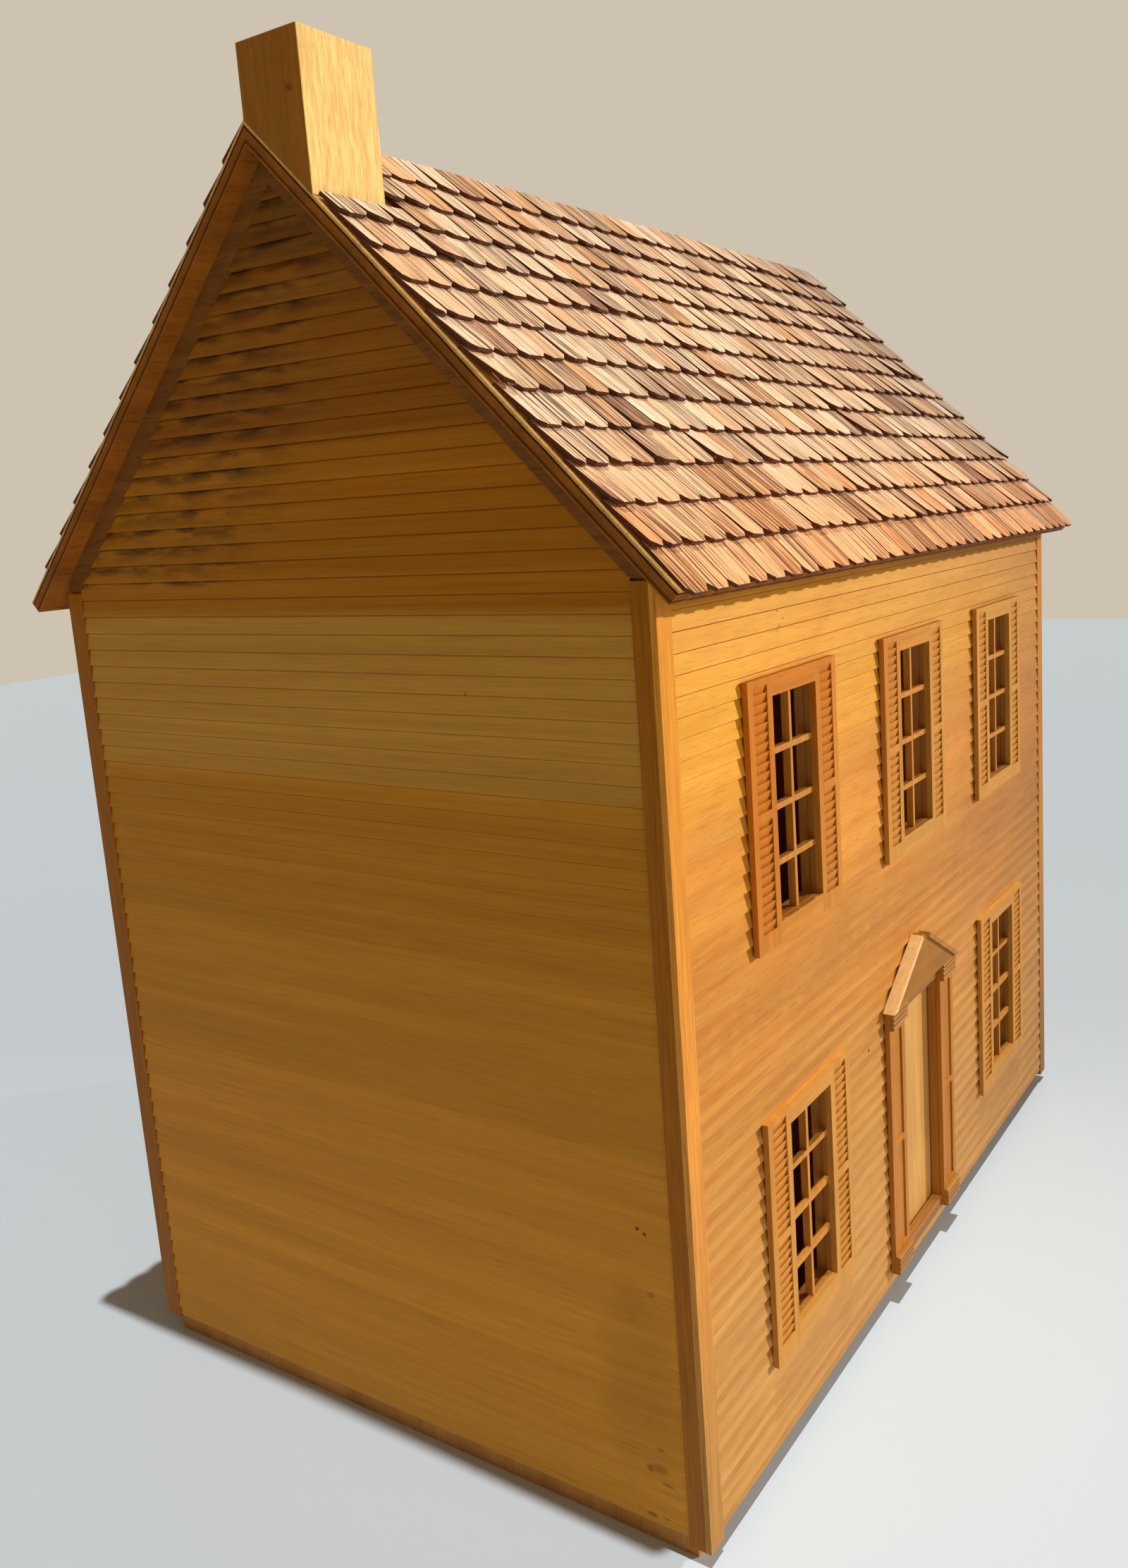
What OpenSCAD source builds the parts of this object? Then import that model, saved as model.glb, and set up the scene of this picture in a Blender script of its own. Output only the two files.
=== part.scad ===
// Two-storey colonial doll's house in wood, one twelfth scale.
// The front faces -Y, the left gable faces -X, and the house stands on Z = 0 with its middle on the origin.

/* [House body] */
// Width of the house over its corner boards
house_w = 590; // [560:1:640]
// Depth of the house over its corner boards
house_d = 408; // [390:1:440]
// Height that the side walls reach below the clapboards
foot_h = 12; // [8:1:16]
// Thickness of the plywood walls and floors
ply_t = 6.35; // [5:0.05:7]
// Height from one floor to the next
storey_h = 226; // [215:0.5:240]
// Height of the front wall's face above the attic floor
knee_h = 12.6; // [9:0.05:24]
// Width of the hall between the partition walls
hall_w = 114; // [108:1:118]
// Width of the doorways in the partition walls
doorway_w = 70; // [60:1:80]
// Height of the doorways in the partition walls
doorway_h = 170; // [150:1:180]

/* [Clapboards and trim] */
// Thickness of the clapboards at their lower edges
siding_t = 3.2; // [2.6:0.1:4]
// Thickness of the clapboards at their upper edges
siding_thin = 1.7; // [1.2:0.1:2]
// Height of one clapboard
lap = 9.525; // [9:0.005:10]
// Clapboards milled into one sheet
sheet_laps = 9; // [6:1:12]
// Clapboards left on the lowest sheet after it was trimmed
first_laps = 2.6; // [1.6:0.1:4]
// Width of the corner boards
corner_w = 12.4; // [10:0.1:14]
// How far the front corner boards hang below the clapboards
corner_drop = 4.5; // [2:0.5:6]
// How far the rear corner boards hang below the clapboards
corner_drop_rear = 2; // [1:0.5:4]
// Width of the frieze boards under the rakes
frieze_w = 10.5; // [9:0.1:13]

/* [Roof] */
// Slope of the roof in degrees
roof_pitch = 45; // [44:0.5:46]
// Thickness of the roof boards
roof_t = 7.95; // [6:0.05:9]
// How far the roof boards reach past the front and rear walls
eave_out = 19; // [17:0.5:22]
// How far the roof boards reach past the gables
rake_out = 11; // [8:0.5:14]
// Length of shingle left showing in the lowest course
exposure = 25.3; // [24:0.1:28]
// How much less of itself each course shows than the one below it
exposure_drift = 0.18; // [0:0.01:0.2]
// How far the lowest course hangs past the roof board's edge
eave_lip = 4; // [2:0.1:6]
// How far each course reaches under the next one
shingle_lap = 6; // [4:0.5:8]
// Mean width of the shingles
shingle_w = 18.3; // [15:0.1:20]
// Thickness of the shingles
shingle_t = 1.9; // [1.4:0.1:2.2]
// Size of the corners clipped off each shingle's butt
shingle_clip = 4.6; // [3:0.1:5]
// Bare edge of the roof board beside the shingles
shingle_inset = 2; // [1:0.5:4]
// Slit between neighbouring shingles
shingle_slit = 0.5; // [0.3:0.1:0.8]

/* [Chimney] */
// Width of the chimney along the ridge
chimney_w = 48; // [40:1:56]
// Depth of the chimney down the front slope
chimney_d = 40; // [32:1:48]
// Height of the chimney above the ridge
chimney_up = 33.6; // [24:0.1:44]

/* [Windows] */
// Distance of the outer windows' middles from the ends of the house
window_end = 124.2; // [112:0.1:134]
// How far the middle window is from the middle of the house
window_shift = -1.4; // [-3:0.1:3]
// Height of the lower windows' foot above the clapboards' foot
window_z = 49.9; // [42:0.1:56]
// Width of a window over its shutters
window_w = 101.4; // [96:0.1:106]
// Height of a window's shutters
window_h = 136.9; // [130:0.1:142]
// Width of a window's opening
light_w = 50; // [46:0.1:54]
// Height of the board over a window's opening
head_h = 10.3; // [8:0.1:12]
// Height of the board under a window's opening
sill_h = 10.9; // [8:0.1:12]
// Thickness of the shutters, heads and sills
shutter_t = 3.2; // [2.8:0.1:4]
// Width of the plain edges beside the louvres
stile_w = 5.4; // [4:0.1:7]
// Height of the rail over the upper louvres
top_rail = 3.6; // [3:0.1:6]
// Height of the rail between the louvres
mid_rail = 4.5; // [3:0.1:6]
// Height of the middle rail's foot over the shutter's foot
mid_rail_z = 66.4; // [60:0.1:72]
// Height of the rail under the lower louvres
bottom_rail = 9.4; // [8:0.1:12]
// Height of one louvre
louvre_h = 4.88; // [4.6:0.01:5.2]
// Depth of one louvre at its lower edge
louvre_depth = 1.6; // [1.2:0.1:2]
// Width of the upright glazing bar
bar_w = 2.6; // [2:0.1:3.2]
// Depth of the upright glazing bar
bar_deep = 4.3; // [4:0.1:5]
// Height and depth of the level glazing bars
bar_h = 3.2; // [2.6:0.1:3.6]

/* [Front door] */
// How far the door is from the middle of the house
door_shift = -2.7; // [-4:0.1:4]
// Width of the door opening
door_w = 66; // [60:0.5:68]
// Height of the door opening over the clapboards' foot
door_top = 176; // [170:0.5:180]
// Thickness of the door
door_t = 3.2; // [2.8:0.1:4]
// Running gap round the door
door_gap = 0.8; // [0.6:0.1:1.2]
// Diameter of the door's pivot pins
pin_d = 1.5; // [1.2:0.1:1.6]
// Width of the pilasters
pilaster_w = 24; // [22:0.5:27]
// Thickness of the pilasters
pilaster_t = 3.2; // [2.8:0.1:4]
// Width of the plain edges beside a pilaster's sunk fields
field_edge = 4.6; // [3:0.1:6]
// Depth of the sunk fields in the pilasters
field_depth = 1.2; // [0.8:0.1:1.6]
// Height of the pilasters' caps and bases
block_h = 12; // [10:0.5:14]
// How far the caps and bases stand out of the front
block_t = 6.4; // [5.8:0.1:8]
// Height of the bar left between a pilaster's two sunk fields
stop_h = 3.6; // [2:0.2:6]
// Height of that bar's foot over the pilaster's foot
stop_z = 84.6; // [70:0.2:100]
// Height of the pilasters' foot over the clapboards' foot
surround_z = 8.4; // [7:0.1:11]
// Height of the board over the door opening
door_head_h = 8.5; // [6:0.5:10]
// Thickness of the pediment's triangular board
pediment_t = 6.0; // [5:0.1:6.4]
// Slope of the pediment's left side in degrees
left_pitch = 34; // [30:0.5:38]
// Slope of the pediment's right side in degrees
right_pitch = 30.5; // [28:0.5:38]
// How far the raking boards reach past the pilasters
raking_out = 2.7; // [1:0.1:4]
// Depth of the raking boards
raking_d = 7.7; // [6.5:0.1:9]
// Thickness of the raking boards
raking_t = 3.2; // [2.4:0.1:4]
// How far the left raking board stops short of the peak
left_short = 4; // [2:0.5:8]
// How far the right raking board stops short of the peak
right_short = 9; // [2:0.5:12]
// Height of the threshold over the pilasters' foot
threshold_h = 6.9; // [5:0.1:9]
// How far the threshold stands out of the front
threshold_out = 1.6; // [1:0.1:2.4]

/* [Rear doors] */
// Height of the board over the rear doors, up to the roof board
rear_header_h = 21; // [16:0.1:36]
// Gap between the two rear doors
meeting_gap = 1; // [0.8:0.1:2]
// Gap beside the rear doors' hinges
hinge_gap = 2; // [1.9:0.1:2.4]
// Thickness of the hinge leaves
hinge_leaf_t = 0.8; // [0.6:0.1:0.9]
// Height of a hinge
hinge_h = 26; // [20:1:30]
// Diameter of a hinge's knuckles
knuckle_d = 3.2; // [3:0.1:3.6]
// Diameter of the rear doors' knobs
knob_d = 10; // [8:0.5:12]
// Reach of the rear doors' knobs
knob_out = 11; // [9:0.5:13]

/* [Hidden] */
$fn = 48;

slack = 0.05;
running = 0.3;
slope = tan(roof_pitch);
wood_light = "#d99a4e";
wood_mid = "#c98a42";
wood_dark = "#8a5a2c";
wood_shingle = "#a8744e";
wood_pale = "#e8c184";
brass = "#b89a58";
steel = "#a5a7aa";

// Planes of the walls: the ply stands behind the clapboards on every side.
ply_out = siding_t;
ply_in = siding_t + ply_t;
back_in = house_d - ply_in;
back_out = house_d - siding_t;

// Heights of the floors.
floor_top = foot_h + ply_t;
upper_top = floor_top + storey_h;
attic_top = upper_top + storey_h;

// The roof boards' underside crosses the face of the front wall at this height.
soffit_z = attic_top + knee_h;
roof_rise = roof_t / cos(roof_pitch);
ridge_y = house_d / 2;
ridge_z = soffit_z + roof_rise + ridge_y * slope;
roof_len = (ridge_y + eave_out) / cos(roof_pitch);
roof_w = house_w + 2 * rake_out;
function course_butt(k) = k * exposure - exposure_drift * k * (k - 1) / 2 - eave_lip;
courses = len([for (k = [0:40]) if (course_butt(k) < roof_len - 6) k]);
least_exposure = exposure - exposure_drift * (courses - 1);
tilt = asin((shingle_t + slack) / least_exposure);

// Windows: middle of each one, and the height of its foot.
window_low = foot_h + window_z;
window_high = window_low + storey_h;
light_h = window_h - head_h - sill_h;
shutter_w = (window_w - light_w) / 2;
window_x = house_w / 2 - window_end;
mid_x = house_w / 2;
window_mid = mid_x + window_shift;

// Front door.
door_x = mid_x + door_shift - door_w / 2;
door_back = ply_in - 0.2;
door_front = door_back - door_t;
door_foot = floor_top + door_gap;
door_head_z = foot_h + door_top;
door_pin_x = door_x + door_gap + door_t / 2;
door_pin_y = door_front + door_t / 2;
pin_reach = 4;
surround_foot = foot_h + surround_z;
cap_top = door_head_z + door_head_h;
pilaster_h = cap_top - surround_foot;

// Pediment: the undersides of its raking boards meet at the peak.
pediment_left = door_x - pilaster_w - raking_out + raking_t / sin(left_pitch);
pediment_right = door_x + door_w + pilaster_w + raking_out - raking_t / sin(right_pitch);
left_run = (pediment_right - pediment_left) * tan(right_pitch) / (tan(left_pitch) + tan(right_pitch));
right_run = pediment_right - pediment_left - left_run;

// Rear doors: each turns on the middle of its hinge knuckles.
rear_top = soffit_z - rear_header_h;
rear_door_h = rear_top - foot_h;
hinge_x = ply_out + hinge_gap / 2;
hinge_y = house_d + knuckle_d / 2;
rear_edge = ply_out + hinge_gap;
rear_door_w = mid_x - meeting_gap / 2 - rear_edge;
hinge_z = [foot_h + 45, foot_h + rear_door_h / 2, foot_h + rear_door_h - 45];
knob_z = foot_h + rear_door_h / 2;
knob_tenon = 3;
stile_in = 12;
catch_half = 20;
plate_t = 0.6;

module in_house() {
    translate([-house_w / 2, -house_d / 2, 0]) children();
}

module mirrored() {
    translate([house_w, 0, 0]) mirror([1, 0, 0]) children();
}

module block(low, high) {
    translate(low) cube([high[0] - low[0], high[1] - low[1], high[2] - low[2]]);
}

// A shape drawn in Y and Z, run along X from x0 to x1.
module along_x(x0, x1) {
    translate([x0, 0, 0]) rotate([90, 0, 90]) linear_extrude(x1 - x0) children();
}

// A shape drawn in X and Z, run along Y from y0 to y1.
module along_y(y0, y1) {
    translate([0, y1, 0]) rotate([90, 0, 0]) linear_extrude(y1 - y0) children();
}

// The gable's outline from depth y0 to the same distance from the back, a drop below the roof boards.
module gable_outline(y0, z0, drop = 0) {
    top = soffit_z - drop;
    polygon([[y0, z0], [house_d - y0, z0], [house_d - y0, top + y0 * slope],
        [ridge_y, top + ridge_y * slope], [y0, top + y0 * slope]]);
}

// The outline under the front slope between two depths.
module eave_outline(y0, y1, z0) {
    polygon([[y0, z0], [y1, z0], [y1, soffit_z + y1 * slope], [y0, soffit_z + y0 * slope]]);
}

// Height of each window's foot and middle of its opening, by its place in the front.
module each_window() {
    for (column = [-1, 0, 1]) translate([window_mid + column * window_x, 0, window_high]) children();
    for (column = [-1, 1]) translate([window_mid + column * window_x, 0, window_low]) children();
}

module window_hole() {
    block([-light_w / 2, -1, sill_h], [light_w / 2, ply_in + 1, window_h - head_h]);
}

module front_holes() {
    each_window() window_hole();
    block([door_x, -1, floor_top], [door_x + door_w, ply_in + 1, door_head_z]);
}

// ---- Carcass ----

module side_wall() {
    along_x(ply_out, ply_in) gable_outline(ply_in, 0);
}

module left_wall() {
    color(wood_dark) in_house() side_wall();
}

module right_wall() {
    color(wood_dark) in_house() mirrored() side_wall();
}

module front_wall() {
    color(wood_mid) in_house() difference() {
        along_x(ply_out, house_w - ply_out) eave_outline(ply_out, ply_in, foot_h);
        front_holes();
        for (z = [floor_top - pin_reach - 1, door_head_z - 1])
            translate([door_pin_x, door_pin_y, z]) cylinder(d = pin_d + 0.14, h = pin_reach + 2);
    }
}

module plinth_rails() {
    color(wood_dark) in_house()
        for (y = [ply_in, back_in - 20]) block([ply_in, y, 0], [house_w - ply_in, y + 18, foot_h]);
}

module floor_board(top, y1) {
    block([ply_in, ply_in, top - ply_t], [house_w - ply_in, y1, top]);
}

module ground_floor() {
    color(wood_mid) in_house() floor_board(floor_top, back_in - 0.5);
}

module upper_floor() {
    color(wood_mid) in_house() floor_board(upper_top, back_in - 0.5);
}

module attic_floor() {
    color(wood_mid) in_house() floor_board(attic_top, back_in);
}

module partition(x, z0, z1) {
    door_y = (ply_in + back_in - doorway_w) / 2;
    difference() {
        block([x - ply_t / 2, ply_in, z0], [x + ply_t / 2, back_in - 0.5, z1]);
        block([x - ply_t, door_y, z0 - 1], [x + ply_t, door_y + doorway_w, z0 + doorway_h]);
    }
}

module partitions(z0, z1) {
    for (side = [-1, 1]) partition(mid_x + side * (hall_w + ply_t) / 2, z0, z1);
}

module ground_partitions() {
    color(wood_mid) in_house() partitions(floor_top, upper_top - ply_t);
}

module upper_partitions() {
    color(wood_mid) in_house() partitions(upper_top, attic_top - ply_t);
}

module rear_header() {
    foot = rear_top + 1;
    color(wood_light) in_house() translate([0, house_d, 0]) mirror([0, 1, 0]) {
        along_x(ply_out + slack, house_w - ply_out - slack) eave_outline(ply_out + slack, ply_in, foot);
        intersection() {
            front_sheets(corner_w, house_w - corner_w, foot);
            along_x(0, house_w) eave_outline(0, ply_out, foot);
        }
        for (x = [ply_out + slack, house_w - corner_w + slack])
            along_x(x, x + corner_w - ply_out - 2 * slack) eave_outline(0, ply_out, foot);
    }
}

// ---- Roof ----

// One roof board with its lower end cut square and its upper end meeting the other on the ridge.
module front_slope() {
    y0 = -eave_out;
    z0 = soffit_z + roof_rise - eave_out * slope;
    run = roof_t * sin(roof_pitch);
    drop = roof_t * cos(roof_pitch);
    along_x(-rake_out, house_w + rake_out)
        polygon([[y0, z0], [y0 + run, z0 - drop], [ridge_y, ridge_z - roof_rise], [ridge_y, ridge_z]]);
}

module front_roof_board() {
    color(wood_mid) in_house() front_slope();
}

module rear_roof_board() {
    color(wood_mid) in_house() translate([0, house_d, 0]) mirror([0, 1, 0]) front_slope();
}

// Places its children on the front slope: X along the eave, Y up the slope from the eave, Z out of the roof.
module on_slope() {
    translate([-rake_out, -eave_out, ridge_z - (ridge_y + eave_out) * slope])
        rotate([roof_pitch, 0, 0]) children();
}

function wobble(a, b) = let (v = sin(a * 127.1 + b * 311.7) * 43758.5453) v - floor(v);

// Edges of one course's shingles along the eave: uneven as split shingles are, with every second
// course set half a shingle along.
function shingle_edges(course, seed, count, span) =
    let (start = course % 2 == 0 ? 1 : 0.5)
    concat([0], [for (i = [start:1:count - 0.25])
        (i + 0.12 * (wobble(i + seed, course + 1) - 0.5)) * span / count], [span]);

// One shingle lying on Y from its butt, its two lower corners clipped.
module shingle(width, length) {
    clip = min(shingle_clip, width / 2 - 1);
    tall = min(clip, length - 2);
    linear_extrude(shingle_t)
        polygon([[0, tall], [clip, 0], [width - clip, 0], [width, tall], [width, length], [0, length]]);
}

module shingle_course(course, seed) {
    span = roof_w - 2 * shingle_inset;
    count = round(span / shingle_w);
    edges = shingle_edges(course, seed, count, span);
    butt = course_butt(course);
    length = min(exposure + shingle_lap, roof_len - butt - 0.4);
    lean = course == 0 ? 0 : tilt;
    lift = course == 0 ? slack : (exposure + shingle_lap) * sin(tilt) + slack;
    translate([shingle_inset, butt, lift]) rotate([-lean, 0, 0])
        for (i = [0:len(edges) - 2]) translate([edges[i] + shingle_slit / 2, 0, 0])
            shingle(edges[i + 1] - edges[i] - shingle_slit, length);
}

module chimney_room(grow) {
    block([-rake_out - 9, ridge_y - chimney_d - grow, ridge_z - chimney_d * slope - 9],
        [chimney_w - rake_out + grow, ridge_y + 9, ridge_z + 9]);
}

module slope_shingles(seed) {
    intersection() {
        on_slope() for (course = [0:courses - 1]) shingle_course(course, seed);
        block([-rake_out, -eave_out - 9, 0], [house_w + rake_out, ridge_y - slack, ridge_z + 20]);
    }
}

module front_shingles() {
    color(wood_shingle) in_house() difference() {
        slope_shingles(3);
        chimney_room(running);
    }
}

module rear_shingles() {
    color(wood_shingle) in_house() translate([0, house_d, 0]) mirror([0, 1, 0]) slope_shingles(71);
}

module chimney() {
    top = ridge_z + chimney_up;
    foot = ridge_z - chimney_d * slope;
    front = ridge_y - chimney_d;
    color(wood_pale) in_house() along_x(-rake_out, chimney_w - rake_out)
        polygon([[front, foot], [ridge_y, ridge_z], [ridge_y, top], [front, top]]);
}

// ---- Clapboards ----

// Number of clapboards from the foot up to height z.
function laps_to(z) = (z - foot_h) / lap;
function lap_foot(n) = foot_h + n * lap;

// Heights, in clapboards over the foot, where the sheets meet.
function sheet_marks(top) = concat([0], [for (n = [first_laps:sheet_laps:laps_to(top)]) n], [laps_to(top)]);

// The lowest clapboard is trimmed, so the laps break at whole numbers past this part of one.
lap_phase = first_laps - floor(first_laps);

// Sawtooth section of one sheet from n0 to n1 clapboards up; X is its depth in front of the ply.
function sheet_section(n0, n1) =
    let (first = floor(n0 - lap_phase) + lap_phase, last = ceil(n1 - lap_phase) + lap_phase,
        thick = function(part) siding_t - (siding_t - siding_thin) * part)
    concat([[0, lap_foot(n0)]],
        [for (n = [first:1:last - 1]) each [[thick(max(n0 - n, 0)), lap_foot(max(n, n0))],
            [thick(min(n1 - n, 1)), lap_foot(min(n + 1, n1))]]],
        [[0, lap_foot(n1)]]);

// Sheets of clapboards on the front from x0 to x1, standing on z0, cut off far above the eave.
module front_sheets(x0, x1, z0 = foot_h) {
    marks = sheet_marks(soffit_z + siding_t * slope);
    for (i = [0:len(marks) - 2]) if (lap_foot(marks[i + 1]) > z0 + 0.5)
        along_x(x0 + slack, x1 - slack) mirror([1, 0]) translate([-siding_t, 0])
            polygon(sheet_section(max(marks[i], laps_to(z0)) + (i == 0 ? 0 : 0.004), marks[i + 1] - 0.004));
}

module front_clapboards() {
    color(wood_light) in_house() difference() {
        intersection() {
            front_sheets(corner_w, house_w - corner_w);
            along_x(0, house_w) eave_outline(0, ply_out, foot_h);
        }
        front_holes();
    }
}

module side_sheets() {
    marks = sheet_marks(soffit_z + ridge_y * slope);
    intersection() {
        for (i = [0:len(marks) - 2])
            along_y(corner_w + slack, house_d - corner_w - slack) translate([siding_t, 0]) mirror([1, 0])
                polygon(sheet_section(marks[i] + (i == 0 ? 0 : 0.004), marks[i + 1] - 0.004));
        along_x(-1, siding_t + 1) gable_outline(corner_w, foot_h, frieze_w / cos(roof_pitch) + slack);
    }
}

module left_clapboards() {
    color(wood_light) in_house() side_sheets();
}

module right_clapboards() {
    color(wood_light) in_house() mirrored() side_sheets();
}

module front_corner_board() {
    along_x(0, corner_w) eave_outline(0, ply_out, foot_h - corner_drop);
}

module front_corner_boards() {
    color(wood_mid) in_house() {
        front_corner_board();
        mirrored() front_corner_board();
    }
}

// The gable end's two corner boards, cut level under the frieze boards.
module side_corner_pair() {
    top = soffit_z + (corner_w * slope) - frieze_w / cos(roof_pitch) - 1.5;
    block([0, ply_out, foot_h - corner_drop], [ply_out, corner_w, top]);
    block([0, house_d - corner_w, foot_h - corner_drop_rear], [ply_out, house_d, top]);
}

module side_corner_boards() {
    color(wood_mid) in_house() {
        side_corner_pair();
        mirrored() side_corner_pair();
    }
}

module frieze_pair() {
    top = soffit_z + ridge_y * slope;
    drop = frieze_w / cos(roof_pitch);
    foot = soffit_z + corner_w * slope - drop;
    for (side = [0, 1]) translate([0, side * house_d, 0]) mirror([0, side, 0])
        along_x(0, ply_out)
            polygon([[ply_out, soffit_z + ply_out * slope], [ply_out, foot], [corner_w, foot],
                [ridge_y - slack, top - drop - slack], [ridge_y - slack, top - slack]]);
}

module frieze_boards() {
    color(wood_dark) in_house() {
        frieze_pair();
        mirrored() frieze_pair();
    }
}

// ---- Windows ----

// Section of a field of louvres, each sunk deepest at its foot, the top one cut short; X is depth.
module louvre_field(height) {
    whole = floor(height / louvre_h);
    shallow = 0.15;
    top_depth = louvre_depth - (louvre_depth - shallow) * (height / louvre_h - whole);
    steps = [for (i = [0:whole - 1]) each [[louvre_depth, i * louvre_h], [shallow, (i + 1) * louvre_h]]];
    top_step = [[louvre_depth, whole * louvre_h], [top_depth, height], [-1, height]];
    polygon(concat([[-1, 0]], steps, top_step));
}

module shutter() {
    upper_foot = mid_rail_z + mid_rail;
    translate([0, -shutter_t, 0]) difference() {
        cube([shutter_w, shutter_t, window_h]);
        for (field = [[bottom_rail, mid_rail_z], [upper_foot, window_h - top_rail]])
            translate([0, 0, field[0]]) along_x(stile_w, shutter_w - stile_w)
                louvre_field(field[1] - field[0]);
    }
}

module shutters() {
    translate([-window_w / 2, 0, 0]) shutter();
    translate([light_w / 2, 0, 0]) shutter();
}

module window_boards() {
    half = light_w / 2;
    block([-half, -shutter_t, 0], [half, 0, sill_h]);
    block([-half, -shutter_t, window_h - head_h], [half, 0, window_h]);
}

// One upright bar halved over three level ones.
module glazing_bars() {
    half = light_w / 2;
    halving = bar_h / 2;
    rows = [for (i = [1:3]) sill_h + light_h * i / 4];
    difference() {
        block([-bar_w / 2, 0, sill_h], [bar_w / 2, bar_deep, window_h - head_h]);
        for (z = rows)
            block([-bar_w, -1, z - bar_h / 2 - slack], [bar_w, halving + slack, z + bar_h / 2 + slack]);
    }
    for (z = rows) difference() {
        block([-half, 0, z - bar_h / 2], [half, bar_h, z + bar_h / 2]);
        block([-bar_w / 2 - slack, halving, z - bar_h], [bar_w / 2 + slack, bar_h + 1, z + bar_h]);
    }
}

module at_window(column, foot) {
    in_house() translate([window_mid + column * window_x, 0, foot]) children();
}

module upper_left_window_boards() { color(wood_light) at_window(-1, window_high) window_boards(); }
module upper_left_shutters() { color(wood_mid) at_window(-1, window_high) shutters(); }
module upper_left_glazing_bars() { color(wood_light) at_window(-1, window_high) glazing_bars(); }
module upper_middle_window_boards() { color(wood_light) at_window(0, window_high) window_boards(); }
module upper_middle_shutters() { color(wood_mid) at_window(0, window_high) shutters(); }
module upper_middle_glazing_bars() { color(wood_light) at_window(0, window_high) glazing_bars(); }
module upper_right_window_boards() { color(wood_light) at_window(1, window_high) window_boards(); }
module upper_right_shutters() { color(wood_mid) at_window(1, window_high) shutters(); }
module upper_right_glazing_bars() { color(wood_light) at_window(1, window_high) glazing_bars(); }
module lower_left_window_boards() { color(wood_light) at_window(-1, window_low) window_boards(); }
module lower_left_shutters() { color(wood_mid) at_window(-1, window_low) shutters(); }
module lower_left_glazing_bars() { color(wood_light) at_window(-1, window_low) glazing_bars(); }
module lower_right_window_boards() { color(wood_light) at_window(1, window_low) window_boards(); }
module lower_right_shutters() { color(wood_mid) at_window(1, window_low) shutters(); }
module lower_right_glazing_bars() { color(wood_light) at_window(1, window_low) glazing_bars(); }

// ---- Front door and its surround ----

// One pilaster with its left edge at X = 0 and two sunk fields parted by a bar.
module pilaster() {
    bar = [stop_z, stop_z + stop_h];
    translate([0, -pilaster_t, surround_foot]) difference() {
        cube([pilaster_w, pilaster_t, pilaster_h]);
        for (field = [[block_h + 4, bar[0]], [bar[1], pilaster_h - block_h - 4]])
            block([field_edge, -1, field[0]], [pilaster_w - field_edge, field_depth, field[1]]);
    }
}

module each_pilaster() {
    for (x = [door_x - pilaster_w, door_x + door_w]) translate([x, 0, 0]) children();
}

module pilasters() {
    color(wood_light) in_house() each_pilaster() pilaster();
}

// A block on a pilaster's face with rounded reeds along its front.
module reeded_block(reeds) {
    reed = block_h / reeds;
    along_x(0, pilaster_w) union() {
        translate([-block_t + reed / 2, 0]) square([block_t - reed / 2 - pilaster_t, block_h]);
        for (i = [0:reeds - 1]) translate([-block_t + reed / 2, (i + 0.5) * reed]) circle(d = reed - 0.3);
    }
}

module pilaster_caps() {
    color(wood_light) in_house() translate([0, 0, cap_top - block_h]) each_pilaster() reeded_block(4);
}

module pilaster_bases() {
    color(wood_light) in_house() translate([0, 0, surround_foot]) each_pilaster() reeded_block(4);
}

module door_head() {
    color(wood_light) in_house() block([door_x, -pilaster_t / 2, door_head_z], [door_x + door_w, 0, cap_top]);
}

// The threshold's raised front stands clear of the door's turning corner.
module threshold() {
    top = surround_foot + threshold_h;
    back = door_pin_y - door_t / sqrt(2) - running;
    color(wood_light) in_house() along_x(door_x, door_x + door_w)
        polygon([[-threshold_out, surround_foot], [0, surround_foot], [0, floor_top], [back, floor_top],
            [back, top], [-threshold_out + 0.8, top], [-threshold_out, top - 1.2]]);
}

module pediment() {
    color(wood_light) in_house() along_y(-pediment_t, 0)
        polygon([[pediment_left, cap_top], [pediment_right, cap_top],
            [pediment_left + left_run, cap_top + left_run * tan(left_pitch)]]);
}

// One raking board from its feather edge up; length is measured along its underside.
module raking_board(pitch, length) {
    foot = raking_t / sin(pitch);
    over = foot + length * cos(pitch);
    up = length * sin(pitch);
    along_y(-raking_d, 0)
        polygon([[0, 0], [foot, 0], [over, up], [over - raking_t * sin(pitch), up + raking_t * cos(pitch)]]);
}

module left_raking_board() {
    color(wood_pale) in_house() translate([door_x - pilaster_w - raking_out, 0, cap_top])
        raking_board(left_pitch, left_run / cos(left_pitch) - left_short);
}

module right_raking_board() {
    color(wood_light) in_house() translate([door_x + door_w + pilaster_w + raking_out, 0, cap_top])
        mirror([1, 0, 0]) raking_board(right_pitch, right_run / cos(right_pitch) - right_short);
}

module front_door() {
    x1 = door_x + door_w - door_gap;
    z1 = door_head_z - door_gap;
    color(wood_pale) in_house() difference() {
        block([door_x + door_gap, door_front, door_foot], [x1, door_back, z1]);
        for (z = [door_foot - 1, z1 - 2 * pin_reach])
            translate([door_pin_x, door_pin_y, z]) cylinder(d = pin_d + 0.04, h = 2 * pin_reach + 1);
    }
}

module door_pins() {
    length = door_gap + 3 * pin_reach;
    color(brass) in_house() for (z = [floor_top - pin_reach, door_head_z + pin_reach - length])
        translate([door_pin_x, door_pin_y, z]) cylinder(d = pin_d, h = length);
}

// ---- Rear doors ----

module rear_leaf() {
    difference() {
        block([rear_edge, back_in, foot_h], [rear_edge + rear_door_w, back_out, rear_top]);
        knob_bore();
    }
}

module knob_bore() {
    translate([mid_x - meeting_gap / 2 - stile_in, house_d - 6, knob_z]) rotate([-90, 0, 0])
        cylinder(d = knob_tenon + 0.1, h = 9);
}

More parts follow.
